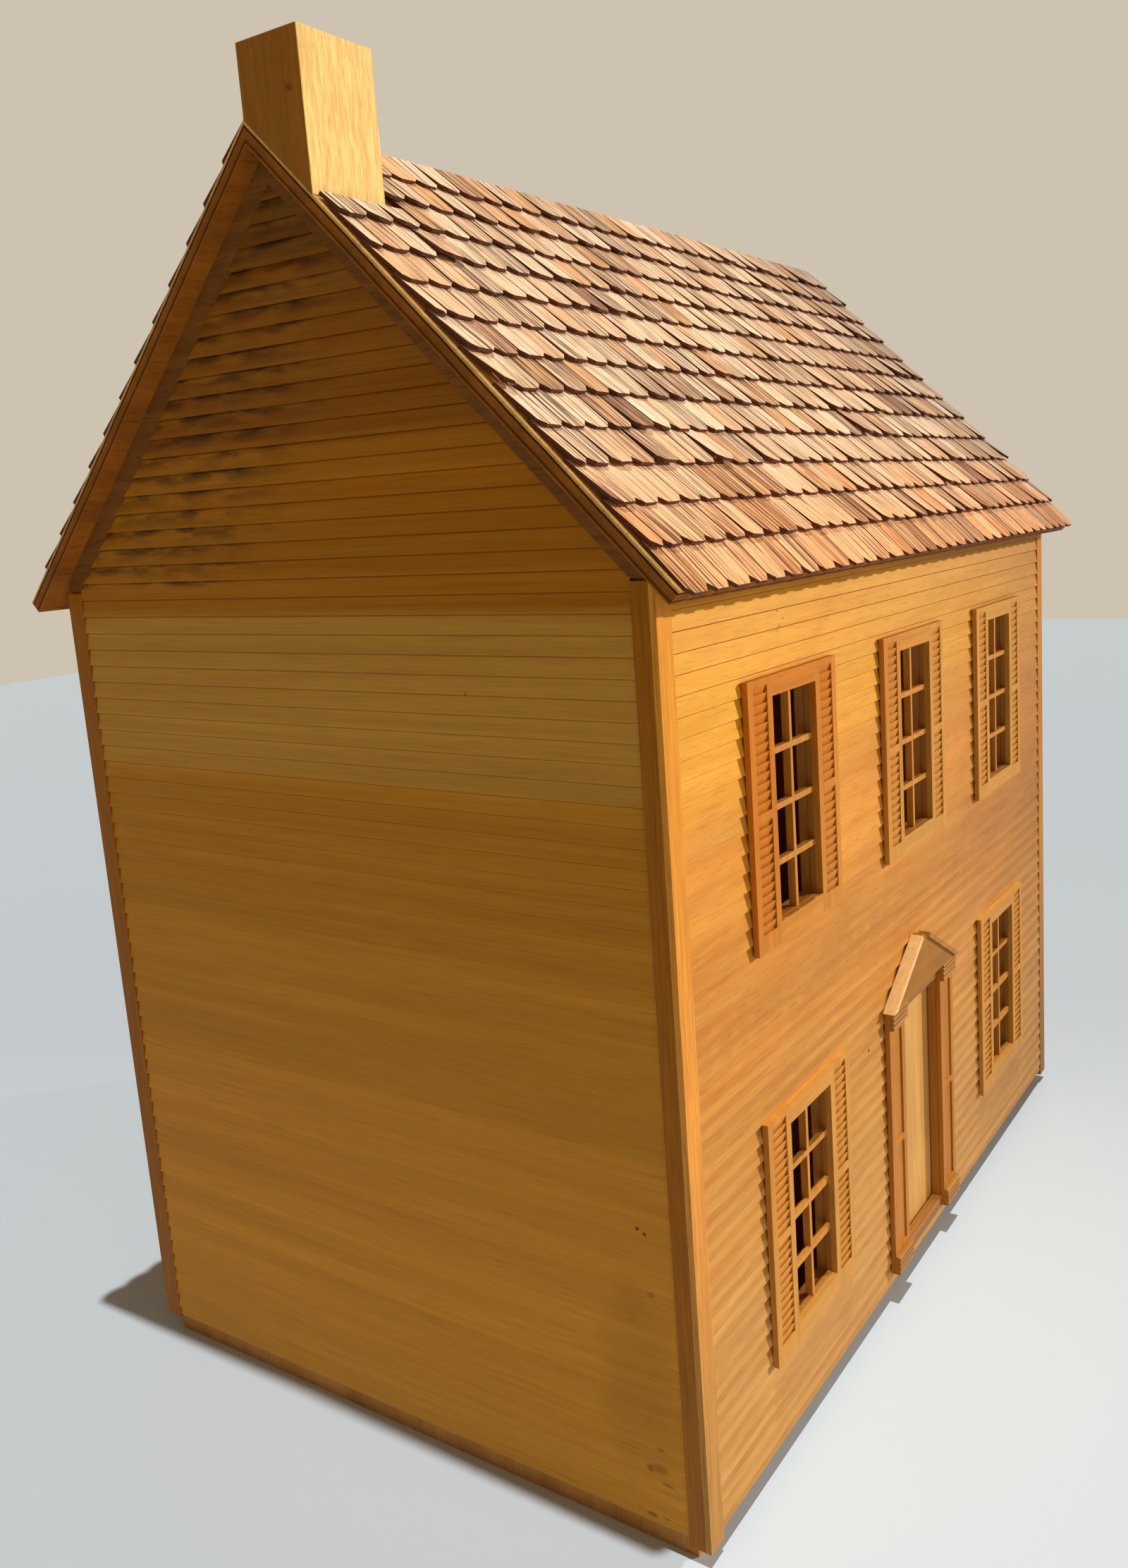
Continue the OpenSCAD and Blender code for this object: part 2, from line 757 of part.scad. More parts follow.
// Clapboards on one rear door between its hinge board and its meeting board.
module rear_cladding() {
    inner = rear_edge + corner_w - ply_out;
    meet = mid_x - meeting_gap / 2;
    difference() {
        union() {
            intersection() {
                translate([0, house_d, 0]) mirror([0, 1, 0]) front_sheets(inner, meet - 2 * stile_in);
                block([0, back_out, foot_h], [house_w, house_d, rear_top]);
            }
            block([rear_edge, back_out, foot_h], [inner - slack, house_d, rear_top]);
            block([meet - 2 * stile_in + slack, back_out, foot_h], [meet, house_d, rear_top]);
        }
        knob_bore();
    }
}

module rear_knob() {
    neck = knob_d * 0.3;
    translate([mid_x - meeting_gap / 2 - stile_in, house_d, knob_z]) rotate([-90, 0, 0]) {
        translate([0, 0, -5.5]) cylinder(d = knob_tenon, h = 6);
        rotate_extrude()
            polygon([[0, 0], [neck * 1.3, 0], [neck, knob_out * 0.35], [knob_d * 0.42, knob_out * 0.55],
                [knob_d / 2, knob_out * 0.75], [knob_d * 0.42, knob_out * 0.93], [0, knob_out]]);
    }
}

// A leaf of a butt hinge: a plate beside the door's edge, carried round the pin by the listed thirds.
module hinge_leaf(x0, thirds) {
    third = hinge_h / 3;
    plate_y = house_d - 0.3;
    block([x0, back_in + 1, -hinge_h / 2], [x0 + hinge_leaf_t, plate_y, hinge_h / 2]);
    for (i = thirds) translate([0, 0, (i - 1.5) * third + running / 2]) {
        difference() {
            union() {
                block([x0, plate_y - 1, 0], [x0 + hinge_leaf_t, hinge_y, third - running]);
                translate([hinge_x, hinge_y, 0]) cylinder(d = knuckle_d, h = third - running);
            }
            translate([hinge_x, hinge_y, -1]) cylinder(d = pin_d + 0.12, h = third + 1);
        }
    }
}

module wall_side_leaves() {
    for (z = hinge_z) translate([0, 0, z]) hinge_leaf(ply_out, [0, 2]);
}

module door_side_leaves() {
    for (z = hinge_z) translate([0, 0, z]) hinge_leaf(rear_edge - hinge_leaf_t, [1]);
}

module side_hinge_pins() {
    for (z = hinge_z) translate([hinge_x, hinge_y, z - hinge_h / 2]) cylinder(d = pin_d, h = hinge_h);
}

module left_rear_door() {
    color(wood_mid) in_house() rear_leaf();
}

module left_rear_clapboards() {
    color(wood_light) in_house() rear_cladding();
}

module left_door_hinge_leaves() {
    color(brass) in_house() door_side_leaves();
}

module left_rear_knob() {
    color(wood_light) in_house() rear_knob();
}

module right_rear_door() {
    color(wood_mid) in_house() mirrored() rear_leaf();
}

module right_rear_clapboards() {
    color(wood_light) in_house() mirrored() rear_cladding();
}

module right_door_hinge_leaves() {
    color(brass) in_house() mirrored() door_side_leaves();
}

module right_rear_knob() {
    color(wood_light) in_house() mirrored() rear_knob();
}

module wall_hinge_leaves() {
    color(brass) in_house() {
        wall_side_leaves();
        mirrored() wall_side_leaves();
    }
}

module hinge_pins() {
    color(brass) in_house() {
        side_hinge_pins();
        mirrored() side_hinge_pins();
    }
}

module magnet_catch() {
    z1 = attic_top - ply_t;
    color(wood_dark) in_house()
        block([mid_x - catch_half, back_in - 14, z1 - 12], [mid_x + catch_half, back_in - plate_t - 0.2, z1]);
}

module strike_plate() {
    block([mid_x - catch_half + 2, back_in - plate_t, rear_top - 9], [mid_x - 4, back_in, rear_top - 1]);
}

module left_strike_plate() {
    color(steel) in_house() strike_plate();
}

module right_strike_plate() {
    color(steel) in_house() mirrored() strike_plate();
}

left_wall();
right_wall();
front_wall();
plinth_rails();
ground_floor();
upper_floor();
attic_floor();
ground_partitions();
upper_partitions();
rear_header();
front_roof_board();
rear_roof_board();
front_shingles();
rear_shingles();
chimney();
front_clapboards();
left_clapboards();
right_clapboards();
front_corner_boards();
side_corner_boards();
frieze_boards();
upper_left_window_boards();
upper_left_shutters();
upper_left_glazing_bars();
upper_middle_window_boards();
upper_middle_shutters();
upper_middle_glazing_bars();
upper_right_window_boards();
upper_right_shutters();
upper_right_glazing_bars();
lower_left_window_boards();
lower_left_shutters();
lower_left_glazing_bars();
lower_right_window_boards();
lower_right_shutters();
lower_right_glazing_bars();
pilasters();
pilaster_caps();
pilaster_bases();
door_head();
threshold();
pediment();
left_raking_board();
right_raking_board();
front_door();
door_pins();
left_rear_door();
left_rear_clapboards();
left_door_hinge_leaves();
left_rear_knob();
left_strike_plate();
right_rear_door();
right_rear_clapboards();
right_door_hinge_leaves();
right_rear_knob();
right_strike_plate();
wall_hinge_leaves();
hinge_pins();
magnet_catch();
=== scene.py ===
"""Looks of a two-storey colonial doll's house in wood, dressed over its CAD frame.

The shell, clapboards, trim, windows, doors and hardware are the frame's own solids with procedural
finishes. The cedar shingles and the chimney are built here, shingle by shingle, in the places that
the frame's solids hold. All sizes in the dataclasses are in millimetres, unless they say otherwise;
meshes are in metres.
"""

import logging
import math
import random
from dataclasses import dataclass, field, replace
from enum import Enum
from typing import Any, Dict, List, Optional, Sequence, Tuple

import bmesh
import bpy
from mathutils import Matrix, Vector

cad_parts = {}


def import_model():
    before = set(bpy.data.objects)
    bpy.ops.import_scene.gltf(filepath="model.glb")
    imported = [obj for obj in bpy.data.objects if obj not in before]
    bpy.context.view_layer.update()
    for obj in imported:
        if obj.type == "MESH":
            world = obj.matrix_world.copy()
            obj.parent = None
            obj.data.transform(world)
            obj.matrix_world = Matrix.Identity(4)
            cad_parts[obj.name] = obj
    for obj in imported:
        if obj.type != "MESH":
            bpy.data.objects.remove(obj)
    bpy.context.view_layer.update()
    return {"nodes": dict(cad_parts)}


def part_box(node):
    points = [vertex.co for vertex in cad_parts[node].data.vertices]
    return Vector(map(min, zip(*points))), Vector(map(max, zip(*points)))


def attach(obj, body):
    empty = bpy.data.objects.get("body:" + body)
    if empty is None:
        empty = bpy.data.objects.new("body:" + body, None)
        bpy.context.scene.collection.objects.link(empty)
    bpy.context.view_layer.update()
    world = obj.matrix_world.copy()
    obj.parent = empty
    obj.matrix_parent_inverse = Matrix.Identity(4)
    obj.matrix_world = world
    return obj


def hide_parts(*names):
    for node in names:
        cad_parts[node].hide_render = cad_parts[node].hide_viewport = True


LOG = logging.getLogger("dollhouse")
MM = 0.001
IMAGE_LONG_SIDE = 2224
SENSOR_MM = 36.0

# Refractive index of wood under a thin coat of oil.
WOOD_IOR = 1.47
# How far noise moves the edge of a stain or a ply, as a share of its size or in millimetres.
RAGGED = 0.9
# Settings and output of a Mix node that blends colours.
MIX = {"out": 2, "data_type": "RGBA"}

# The siding's setting-out: its lower edge, one lap, the part sheet at the foot, laps to a sheet.
FOOT = 12.0
LAP = 9.525
FIRST_LAPS = 2.6
SHEET_LAPS = 9
# Whole laps added before a fraction is taken, which change only how it rounds.
ROUNDING_LAPS = 100.0

Colour = Tuple[float, float, float, float]
Pair = Tuple[float, float]
Triple = Tuple[float, float, float]
Stops = Sequence[Tuple[float, Colour]]
Box = Tuple[Vector, Vector]


class Axis(Enum):
    """Direction in which a board's grain runs, in the house's frame."""

    X = 0
    Y = 1
    Z = 2


def linear(code: str) -> Colour:
    """Turns an sRGB hex colour into linear RGBA.

    Args:
        code: Colour as "#rrggbb".

    Returns:
        The four linear channels, with alpha 1.
    """
    channels = [int(code[i : i + 2], 16) / 255 for i in (1, 3, 5)]
    lin = [c / 12.92 if c <= 0.04045 else ((c + 0.055) / 1.055) ** 2.4 for c in channels]
    return (lin[0], lin[1], lin[2], 1.0)


def grey(level: float) -> Colour:
    """Returns a linear grey."""
    return (level, level, level, 1.0)


def stand(name: str, data: Any) -> bpy.types.Object:
    """Makes an object and links it to the scene.

    Args:
        name: Name of the object.
        data: Its mesh, lamp or camera.

    Returns:
        The object.
    """
    piece = bpy.data.objects.new(name, data)
    bpy.context.scene.collection.objects.link(piece)
    return piece


class Graph:
    """The nodes of one material or world."""

    def __init__(self, owner: Any) -> None:
        """Takes over the nodes of a material or world, and clears them.

        Args:
            owner: The material or world.
        """
        owner.use_nodes = True
        self.tree = owner.node_tree
        self.tree.nodes.clear()

    def add(
        self, kind: str, *inputs: Any, out: Any = 0, stops: Stops = (), **settings: Any
    ) -> Any:
        """Adds a node with its settings, colour stops, socket values and links.

        Args:
            kind: Blender's name of the node's type, without "ShaderNode" before it.
            *inputs: Value or source socket of each input in order, or one dictionary of them.
            out: Name or number of the output to return.
            stops: Place and colour of each stop of a colour ramp.
            **settings: Properties set on the node itself.

        Returns:
            The output socket, or None for a node that has none.
        """
        node = self.tree.nodes.new("ShaderNode" + kind)
        for name, value in settings.items():
            setattr(node, name, value)
        if stops:
            elements = node.color_ramp.elements
            elements[0].position, elements[0].color = stops[0]
            elements[1].position, elements[1].color = stops[-1]
            for place, colour in stops[1:-1]:
                elements.new(place).color = colour
        named = inputs[0] if inputs and isinstance(inputs[0], dict) else dict(enumerate(inputs))
        for key, value in named.items():
            if isinstance(value, bpy.types.NodeSocket):
                self.tree.links.new(value, node.inputs[key])
            else:
                node.inputs[key].default_value = value
        return node.outputs[out] if len(node.outputs) else None

    def place(self) -> Any:
        """Returns the socket of the position in millimetres."""
        metres = self.add("TexCoord", out="Object")
        return self.add("VectorMath", {0: metres, 3: 1 / MM}, operation="SCALE")

    def noise(self, place: Any, sizes: Triple, detail: float, distortion: float = 0.0) -> Any:
        """Adds a noise whose features have their own size along each axis.

        Args:
            place: Socket of the position in millimetres.
            sizes: Size of a feature along X, Y and Z in millimetres.
            detail: Octaves of finer detail.
            distortion: How far the pattern bends.

        Returns:
            The noise's value socket.
        """
        mapped = self.add("VectorMath", place, tuple(1 / s for s in sizes), operation="MULTIPLY")
        inputs = {"Vector": mapped, "Scale": 1.0, "Detail": detail, "Distortion": distortion}
        return self.add("TexNoise", inputs, out="Fac")

    def shaded(self, colour: Any, *shades: Any) -> Any:
        """Multiplies a colour by each of its shades in turn.

        Args:
            colour: Socket of the colour.
            *shades: Sockets of the shades.

        Returns:
            Socket of the shaded colour.
        """
        for shade in shades:
            colour = self.add("Mix", {0: 1.0, 6: colour, 7: shade}, blend_type="MULTIPLY", **MIX)
        return colour

    def surface(self, inputs: Dict[str, Any], relief: Any, strength: float, depth: float) -> None:
        """Closes a material with its relief, its shader and its output.

        Args:
            inputs: The shader's inputs by name.
            relief: Socket of the surface's height.
            strength: Share of the relief that shows.
            depth: Depth of the relief in millimetres.
        """
        height = {"Height": relief, "Strength": strength, "Distance": depth * MM}
        bump = self.add("Bump", height, out="Normal")
        shader = self.add("BsdfPrincipled", {**inputs, "Normal": bump})
        self.add("OutputMaterial", {"Surface": shader})


# ---- Finishes ----


@dataclass(frozen=True)
class Finish:
    """What a surface is made of and how it was worked."""

    name: str

    def material(self) -> bpy.types.Material:
        """Builds the finish as a node material.

        Returns:
            The finished material.
        """
        material = bpy.data.materials.new(self.name)
        graph = Graph(material)
        self.draw(graph, graph.place())
        return material

    def draw(self, graph: Graph, place: Any) -> None:
        """Draws the surface; each kind of finish has its own way."""
        raise NotImplementedError


@dataclass(frozen=True)
class Smudge:
    """Dark rubbed patches under the laps, high up towards the back of a gable.

    They lie above foot and behind a line that leans back by lean for each millimetre down, and come
    in over fade above foot and over reach behind the line. patch is the size of one patch.
    """

    strength: float = 0.8
    foot: float = 480.0
    fade: float = 4.0
    lean: float = 0.69
    reach: Pair = (34.0, 84.0)
    patch: Triple = (20.0, 24.0, 5.5)


@dataclass(frozen=True)
class Sheets:
    """Bands of tone, one for each milled sheet of clapboards; some tones also hold painted shade.

    edge paints a highlight along each butt, and groove paints shade, with some dirt, in the line
    under each lap; soft is the share of a sheet over which its tone runs into the next, and the
    grain jumps by sheet_jump and lap_jump.
    """

    tones: Tuple[str, ...]
    soft: float = 0.04
    smudge: Optional[Smudge] = None
    edge: float = 1.05
    groove: float = 0.58
    sheet_jump: Triple = (61.0, 47.0, 13.0)
    lap_jump: Triple = (0.9, 0.9, 0.0)

    def body(self, graph: Graph, level: Any) -> Any:
        """Colours each sheet by its own tone.

        Args:
            graph: The material's nodes.
            level: Height in sheets.

        Returns:
            The body colour's socket.
        """
        count = len(self.tones)
        stops: List[Tuple[float, Colour]] = []
        for i, tone in enumerate(self.tones):
            for share in (i + self.soft, i + 1 - self.soft):
                stops.append((share / count, linear(tone)))
        share = graph.add("Math", level, float(count), operation="DIVIDE")
        return graph.add("ValToRGB", share, stops=stops)

    def shades(self, graph: Graph, place: Any, part: Any) -> List[Any]:
        """Paints a highlight and shade with dirt at each lap, and rubs dirt under the laps if any.

        Args:
            graph: The material's nodes.
            place: Position in millimetres.
            part: How far up its own clapboard a point lies.

        Returns:
            Sockets of the shades.
        """
        # Painted highlight along each butt; painted shade, with some dirt, under the lap above.
        edge, plain_face, groove = grey(self.edge), grey(1.0), grey(self.groove)
        stops = [(0.0, edge), (0.05, edge), (0.08, plain_face), (0.9, plain_face)]
        stops += [(0.93, groove), (1.0, groove)]
        seam = graph.add("ValToRGB", part, stops=stops)
        if not self.smudge:
            return [seam]
        smudge = self.smudge
        axes = graph.add("SeparateXYZ", place).node.outputs
        up = graph.add("Math", axes["Z"], smudge.foot, operation="SUBTRACT")
        back = graph.add("Math", up, smudge.lean, axes["Y"], operation="MULTIPLY_ADD")
        patches = graph.noise(place, smudge.patch, detail=3.0)
        dark: Any = smudge.strength
        for share in (
            graph.add("MapRange", back, *smudge.reach),
            graph.add("MapRange", up, 0.0, smudge.fade),
            graph.add("MapRange", patches, 0.38, 0.6),
            graph.add("MapRange", part, 0.1, 0.92, 0.1, 1.0),
        ):
            dark = graph.add("Math", dark, share, operation="MULTIPLY")
        return [seam, graph.add("Math", 1.0, dark, operation="SUBTRACT")]


@dataclass(frozen=True)
class Fade:
    """A soft change of tint across a surface; most fades here stand for painted light and shade.

    reach is measured along way: no tint at its first value, the full tint at its last.
    """

    way: Triple
    reach: Pair
    tint: str


@dataclass(frozen=True)
class Mark:
    """A small stain, nail hole or smudge at a point of a surface."""

    place: Triple
    size: Triple
    strength: float


@dataclass(frozen=True)
class Wood(Finish):
    """An oiled wood: its body colour, the streaks of its grain and its pores.

    figure is the breadth of the broad streaks and fibre that of the fine ones, and both run long
    times longer along the grain. contrast, pores, mottle and strength say how much each pattern
    shows, and one more field sets a painted sheen, broad pale patches at a slant that stand for the
    oil's reflection. relief is the pores' depth, and offset moves the grain. layers are the plies
    of a board's edge, as depth and tone, under a face at layer_top along layer_normal.
    """

    body: str
    pale: str
    dark: str
    grain: Axis
    figure: float = 9.0
    fibre: float = 0.7
    long: float = 22.0
    contrast: float = 1.0
    pores: float = 0.25
    mottle: float = 0.18
    roughness: float = 0.46
    sheen: float = 0.12
    strength: float = 0.5
    relief: float = 0.05
    painted_sheen: float = 0.0
    offset: Triple = (0.0, 0.0, 0.0)
    sheets: Optional[Sheets] = None
    fades: Tuple[Fade, ...] = ()
    marks: Tuple[Mark, ...] = ()
    layers: Tuple[Tuple[float, str], ...] = ()
    layer_normal: Triple = (0.0, 0.0, 1.0)
    layer_top: float = 0.0

    def sizes(self, across: float) -> Triple:
        """Gives a pattern's size along each axis, drawn out along the grain.

        Args:
            across: Its size across the grain in millimetres.

        Returns:
            The sizes along X, Y and Z.
        """
        values = [across, across, across]
        values[self.grain.value] = across * self.long
        return (values[0], values[1], values[2])

    def draw(self, graph: Graph, place: Any) -> None:
        """Lays streaks over the body colour, then shades it by pores, laps, oil, plies and marks.

        Args:
            graph: The material's nodes.
            place: Position in millimetres.
        """
        body: Any = linear(self.body)
        seams: List[Any] = []
        moved = graph.add("VectorMath", place, self.offset, operation="ADD")
        if self.sheets:
            body, seams, moved = self.banded(graph, place, moved)
        figure = graph.noise(moved, self.sizes(self.figure), detail=5.0, distortion=0.6)
        fibre = graph.noise(moved, self.sizes(self.fibre), detail=3.0)
        cloud = graph.noise(moved, self.sizes(3.0 * self.figure), detail=2.0, distortion=0.3)
        half = 0.15 * self.contrast
        streak = graph.add("ValToRGB", figure, stops=[(0.5 - half, grey(0)), (0.5 + half, grey(1))])
        warm, deep = (
            graph.add("Mix", {0: 0.55, 6: body, 7: linear(code)}, **MIX)
            for code in (self.pale, self.dark)
        )
        colour = graph.add("Mix", {0: streak, 6: deep, 7: warm}, **MIX)
        colour = graph.add("Mix", {0: self.strength, 6: body, 7: colour}, **MIX)
        clouds = [(0.35, grey(1 - self.mottle)), (0.65, grey(1 + self.mottle * 0.3))]
        pores = [(0.30, grey(1 - self.pores)), (0.46, grey(1.0)), (0.75, grey(1.04))]
        shades = [graph.add("ValToRGB", cloud, stops=clouds)]
        shades.append(graph.add("ValToRGB", fibre, stops=pores))
        if self.painted_sheen:
            shades.append(self.painted_sheen_streaks(graph, place))
        shades += seams
        shades += [self.faded(graph, place, fade) for fade in self.fades]
        if self.layers:
            shades.append(self.ply_edge(graph, place))
        shades += [self.stained(graph, place, mark) for mark in self.marks]
        dull, duller = grey(self.roughness - 0.05), grey(min(self.roughness + 0.08, 1.0))
        inputs = {
            "Base Color": graph.shaded(colour, *shades),
            "Roughness": graph.add("ValToRGB", figure, stops=[(0.2, dull), (0.8, duller)]),
            "IOR": WOOD_IOR,
            "Specular IOR Level": self.sheen,
        }
        graph.surface(inputs, fibre, 0.5, self.relief)

    def banded(self, graph: Graph, place: Any, moved: Any) -> Tuple[Any, List[Any], Any]:
        """Sets out the sheets and their laps, and moves the grain from one to the next.

        Args:
            graph: The material's nodes.
            place: Position in millimetres.
            moved: Position with the material's own offset.

        Returns:
            The body colour, the laps' shades, and the position shifted for each lap.
        """
        sheets = self.sheets
        height = graph.add("SeparateXYZ", place, out="Z")
        laps = graph.add("Math", height, FOOT, operation="SUBTRACT")
        laps = graph.add("Math", laps, LAP, operation="DIVIDE")
        laps = graph.add("Math", laps, FIRST_LAPS, operation="SUBTRACT")
        level = graph.add("Math", laps, float(SHEET_LAPS), operation="DIVIDE")
        level = graph.add("Math", level, 1.0, operation="ADD")
        # Each butt's underside lies on the seam, and the added laps round it to the lap above.
        part = graph.add("Math", laps, ROUNDING_LAPS, operation="ADD")
        part = graph.add("Math", part, operation="FRACT")
        for steps, jump in ((level, sheets.sheet_jump), (laps, sheets.lap_jump)):
            index = graph.add("Math", steps, operation="FLOOR")
            shift = graph.add("VectorMath", {0: jump, 3: index}, operation="SCALE")
            moved = graph.add("VectorMath", moved, shift, operation="ADD")
        return sheets.body(graph, level), sheets.shades(graph, place, part), moved

    def painted_sheen_streaks(self, graph: Graph, place: Any) -> Any:
        """Paints a sheen of broad pale patches across the grain at a slant, a painted reflection.

        Args:
            graph: The material's nodes.
            place: Position in millimetres.

        Returns:
            The painted sheen's shade.
        """
        slant = (0.0, math.radians(38.0), 0.0)
        turned = graph.add("Mapping", {"Vector": place, "Rotation": slant})
        cast = graph.noise(turned, (240.0, 60.0, 26.0), detail=3.0, distortion=0.4)
        stops = [(0.36, grey(1 - self.painted_sheen)), (0.62, grey(1 + 0.5 * self.painted_sheen))]
        return graph.add("ValToRGB", cast, stops=stops)

    def faded(self, graph: Graph, place: Any, fade: Fade) -> Any:
        """Draws a tint that grows along a direction.

        Args:
            graph: The material's nodes.
            place: Position in millimetres.
            fade: The change of tint.

        Returns:
            The tint.
        """
        along = graph.add("VectorMath", place, fade.way, out="Value", operation="DOT_PRODUCT")
        share = graph.add("MapRange", along, *fade.reach)
        return graph.add("ValToRGB", share, stops=[(0.0, grey(1.0)), (1.0, linear(fade.tint))])

    def ply_edge(self, graph: Graph, place: Any) -> Any:
        """Lays the plies of a board by depth under its face, each of uneven thickness.

        Args:
            graph: The material's nodes.
            place: Position in millimetres.

        Returns:
            The plies' tones.
        """
        normal = self.layer_normal
        along = graph.add("VectorMath", place, normal, out="Value", operation="DOT_PRODUCT")
        wave = graph.noise(place, (24.0, 24.0, 24.0), detail=3.0)
        depth = graph.add("Math", self.layer_top - RAGGED / 2, along, operation="SUBTRACT")
        depth = graph.add("Math", wave, RAGGED, depth, operation="MULTIPLY_ADD")
        span = self.layers[-1][0] + 1.0
        stops = [(max(0.0, deep / span), linear(tone)) for deep, tone in self.layers]
        return graph.add("ValToRGB", graph.add("MapRange", depth, 0.0, span), stops=stops)

    def stained(self, graph: Graph, place: Any, mark: Mark) -> Any:
        """Draws one mark, dark at its middle and ragged at its edge.

        Args:
            graph: The material's nodes.
            place: Position in millimetres.
            mark: The mark.

        Returns:
            The mark's shade.
        """
        offset = graph.add("VectorMath", place, mark.place, operation="SUBTRACT")
        factors = tuple(1 / s for s in mark.size)
        near = graph.add("VectorMath", offset, factors, operation="MULTIPLY")
        reach = graph.add("VectorMath", near, out="Value", operation="LENGTH")
        edge = graph.noise(place, tuple(s * 0.7 for s in mark.size), detail=3.0)
        reach = graph.add("Math", edge, RAGGED, reach, operation="MULTIPLY_ADD")
        middle, rim = 0.45 + RAGGED / 2, 1.0 + RAGGED / 2
        return graph.add("MapRange", reach, middle, rim, 1 - mark.strength, 1.0)


@dataclass(frozen=True)
class CedarFace(Finish):
    """Split cedar: dry fibres torn lengthwise, with painted shade in the deep grooves between them.

    The grooves are drawn 0.5 mm wide, a little coarser than real torn fibres, so that they show.
    The lowest courses, over low from the eave up, are more orange, and the shingles at the far
    end of the ridge, over far along X, are painted greyer and darker, as shade where the light
    falls off.
    """

    name: str = "cedar_shingle_split_dry"
    tones: Tuple[str, ...] = ("#c18f6e", "#e4b081", "#eec59d", "#f7d2ad", "#daa472", "#eab583")
    groove: str = "#42210f"
    low_tint: str = "#ffd4a4"
    low: Pair = (464.0, 554.0)
    # Painted shade at the far end of the ridge, where the light falls off.
    far_shade_tint: str = "#d4dae6"
    far: Pair = (120.0, 300.0)
    groove_mm: float = 1.15
    streak_mm: float = 0.5

    def draw(self, graph: Graph, place: Any) -> None:
        """Draws the split face, whose tone differs from shingle to shingle.

        Args:
            graph: The material's nodes.
            place: Position in millimetres.
        """
        grain = graph.add("UVMap", out="UV", uv_map="grain")
        grain = graph.add("VectorMath", {0: grain, 3: 1 / MM}, operation="SCALE")
        tone = graph.add("Attribute", out="Fac", attribute_name="tone")
        last = len(self.tones) - 1
        stops = [(i / last, linear(code)) for i, code in enumerate(self.tones)]
        body = graph.add("ValToRGB", tone, stops=stops)
        grooves = graph.noise(grain, (self.groove_mm, 70.0, 1.0), detail=2.0, distortion=0.15)
        fine = graph.noise(grain, (self.streak_mm, 26.0, 1.0), detail=3.0)
        cloud = graph.noise(grain, (9.0, 14.0, 1.0), detail=3.0)
        # Each shingle is torn more or less deeply, by a number that its tone gives.
        torn = graph.add("Math", tone, 17.0, operation="MULTIPLY")
        torn = graph.add("Math", torn, operation="FRACT")
        torn = graph.add("Math", torn, 0.55, operation="SUBTRACT")
        deep = graph.add("Math", torn, 0.12, grooves, operation="MULTIPLY_ADD")
        cut = graph.add("ValToRGB", deep, stops=[(0.415, grey(1.0)), (0.47, grey(0.0))])
        axes = graph.add("SeparateXYZ", place).node.outputs
        shades = []
        for height, reach, tint in (
            (axes["Z"], self.low, (linear(self.low_tint), grey(1.0))),
            (axes["X"], self.far, (grey(1.0), linear(self.far_shade_tint))),
        ):
            share = graph.add("MapRange", height, *reach)
            shades.append(graph.add("ValToRGB", share, stops=list(zip((0.0, 1.0), tint))))
        streaks = [(0.3, grey(0.7)), (0.5, grey(1.0)), (0.7, grey(1.14))]
        shades.append(graph.add("ValToRGB", fine, stops=streaks))
        shades.append(graph.add("ValToRGB", cloud, stops=[(0.3, grey(0.84)), (0.7, grey(1.08))]))
        colour = graph.shaded(body, *shades)
        # The grooves are filled with painted shade.
        filled = graph.add("Math", cut, 0.85, operation="MULTIPLY")
        colour = graph.add("Mix", {0: filled, 6: colour, 7: linear(self.groove)}, **MIX)
        relief = graph.add("Math", fine, 0.35, operation="MULTIPLY")
        relief = graph.add("Math", relief, cut, operation="SUBTRACT")
        inputs = {
            "Base Color": colour, "Roughness": 0.82, "IOR": WOOD_IOR, "Specular IOR Level": 0.25,
        }
        graph.surface(inputs, relief, 0.8, 0.35)


@dataclass(frozen=True)
class CedarEnd(Finish):
    """Sawn cedar end grain, dark because it drinks the oil."""

    name: str = "cedar_shingle_sawn_end"
    body: str = "#45200f"
    pale: str = "#6b371c"
    grain_mm: float = 0.8

    def draw(self, graph: Graph, place: Any) -> None:
        """Draws the end grain, mottled with small pale rings.

        Args:
            graph: The material's nodes.
            place: Position in millimetres.
        """
        rings = graph.noise(place, (self.grain_mm,) * 3, detail=3.0)
        stops = [(0.35, linear(self.body)), (0.7, linear(self.pale))]
        colour = graph.add("ValToRGB", rings, stops=stops)
        inputs = {"Base Color": colour, "Roughness": 0.9, "IOR": WOOD_IOR}
        graph.surface(inputs, rings, 0.4, 0.15)


@dataclass(frozen=True)
class Metal(Finish):
    """A small metal part: rolled or plated, with fine rubbing marks."""

    body: str
    worn: str
    roughness: float
    scratch_mm: float = 0.4

    def draw(self, graph: Graph, place: Any) -> None:
        """Draws the metal, duller where fingers have rubbed it.

        Args:
            graph: The material's nodes.
            place: Position in millimetres.
        """
        scratch = (self.scratch_mm, self.scratch_mm, self.scratch_mm * 14)
        rub = graph.noise(place, scratch, detail=3.0)
        tarnish = graph.noise(place, (4.0, 4.0, 4.0), detail=4.0)
        stops = [(0.35, linear(self.worn)), (0.62, linear(self.body))]
        colour = graph.add("ValToRGB", tarnish, stops=stops)
        stops = [(0.3, grey(self.roughness - 0.08)), (0.7, grey(self.roughness + 0.12))]
        rough = graph.add("ValToRGB", rub, stops=stops)
        inputs = {"Base Color": colour, "Metallic": 1.0, "Roughness": rough}
        graph.surface(inputs, rub, 0.2, 0.02)


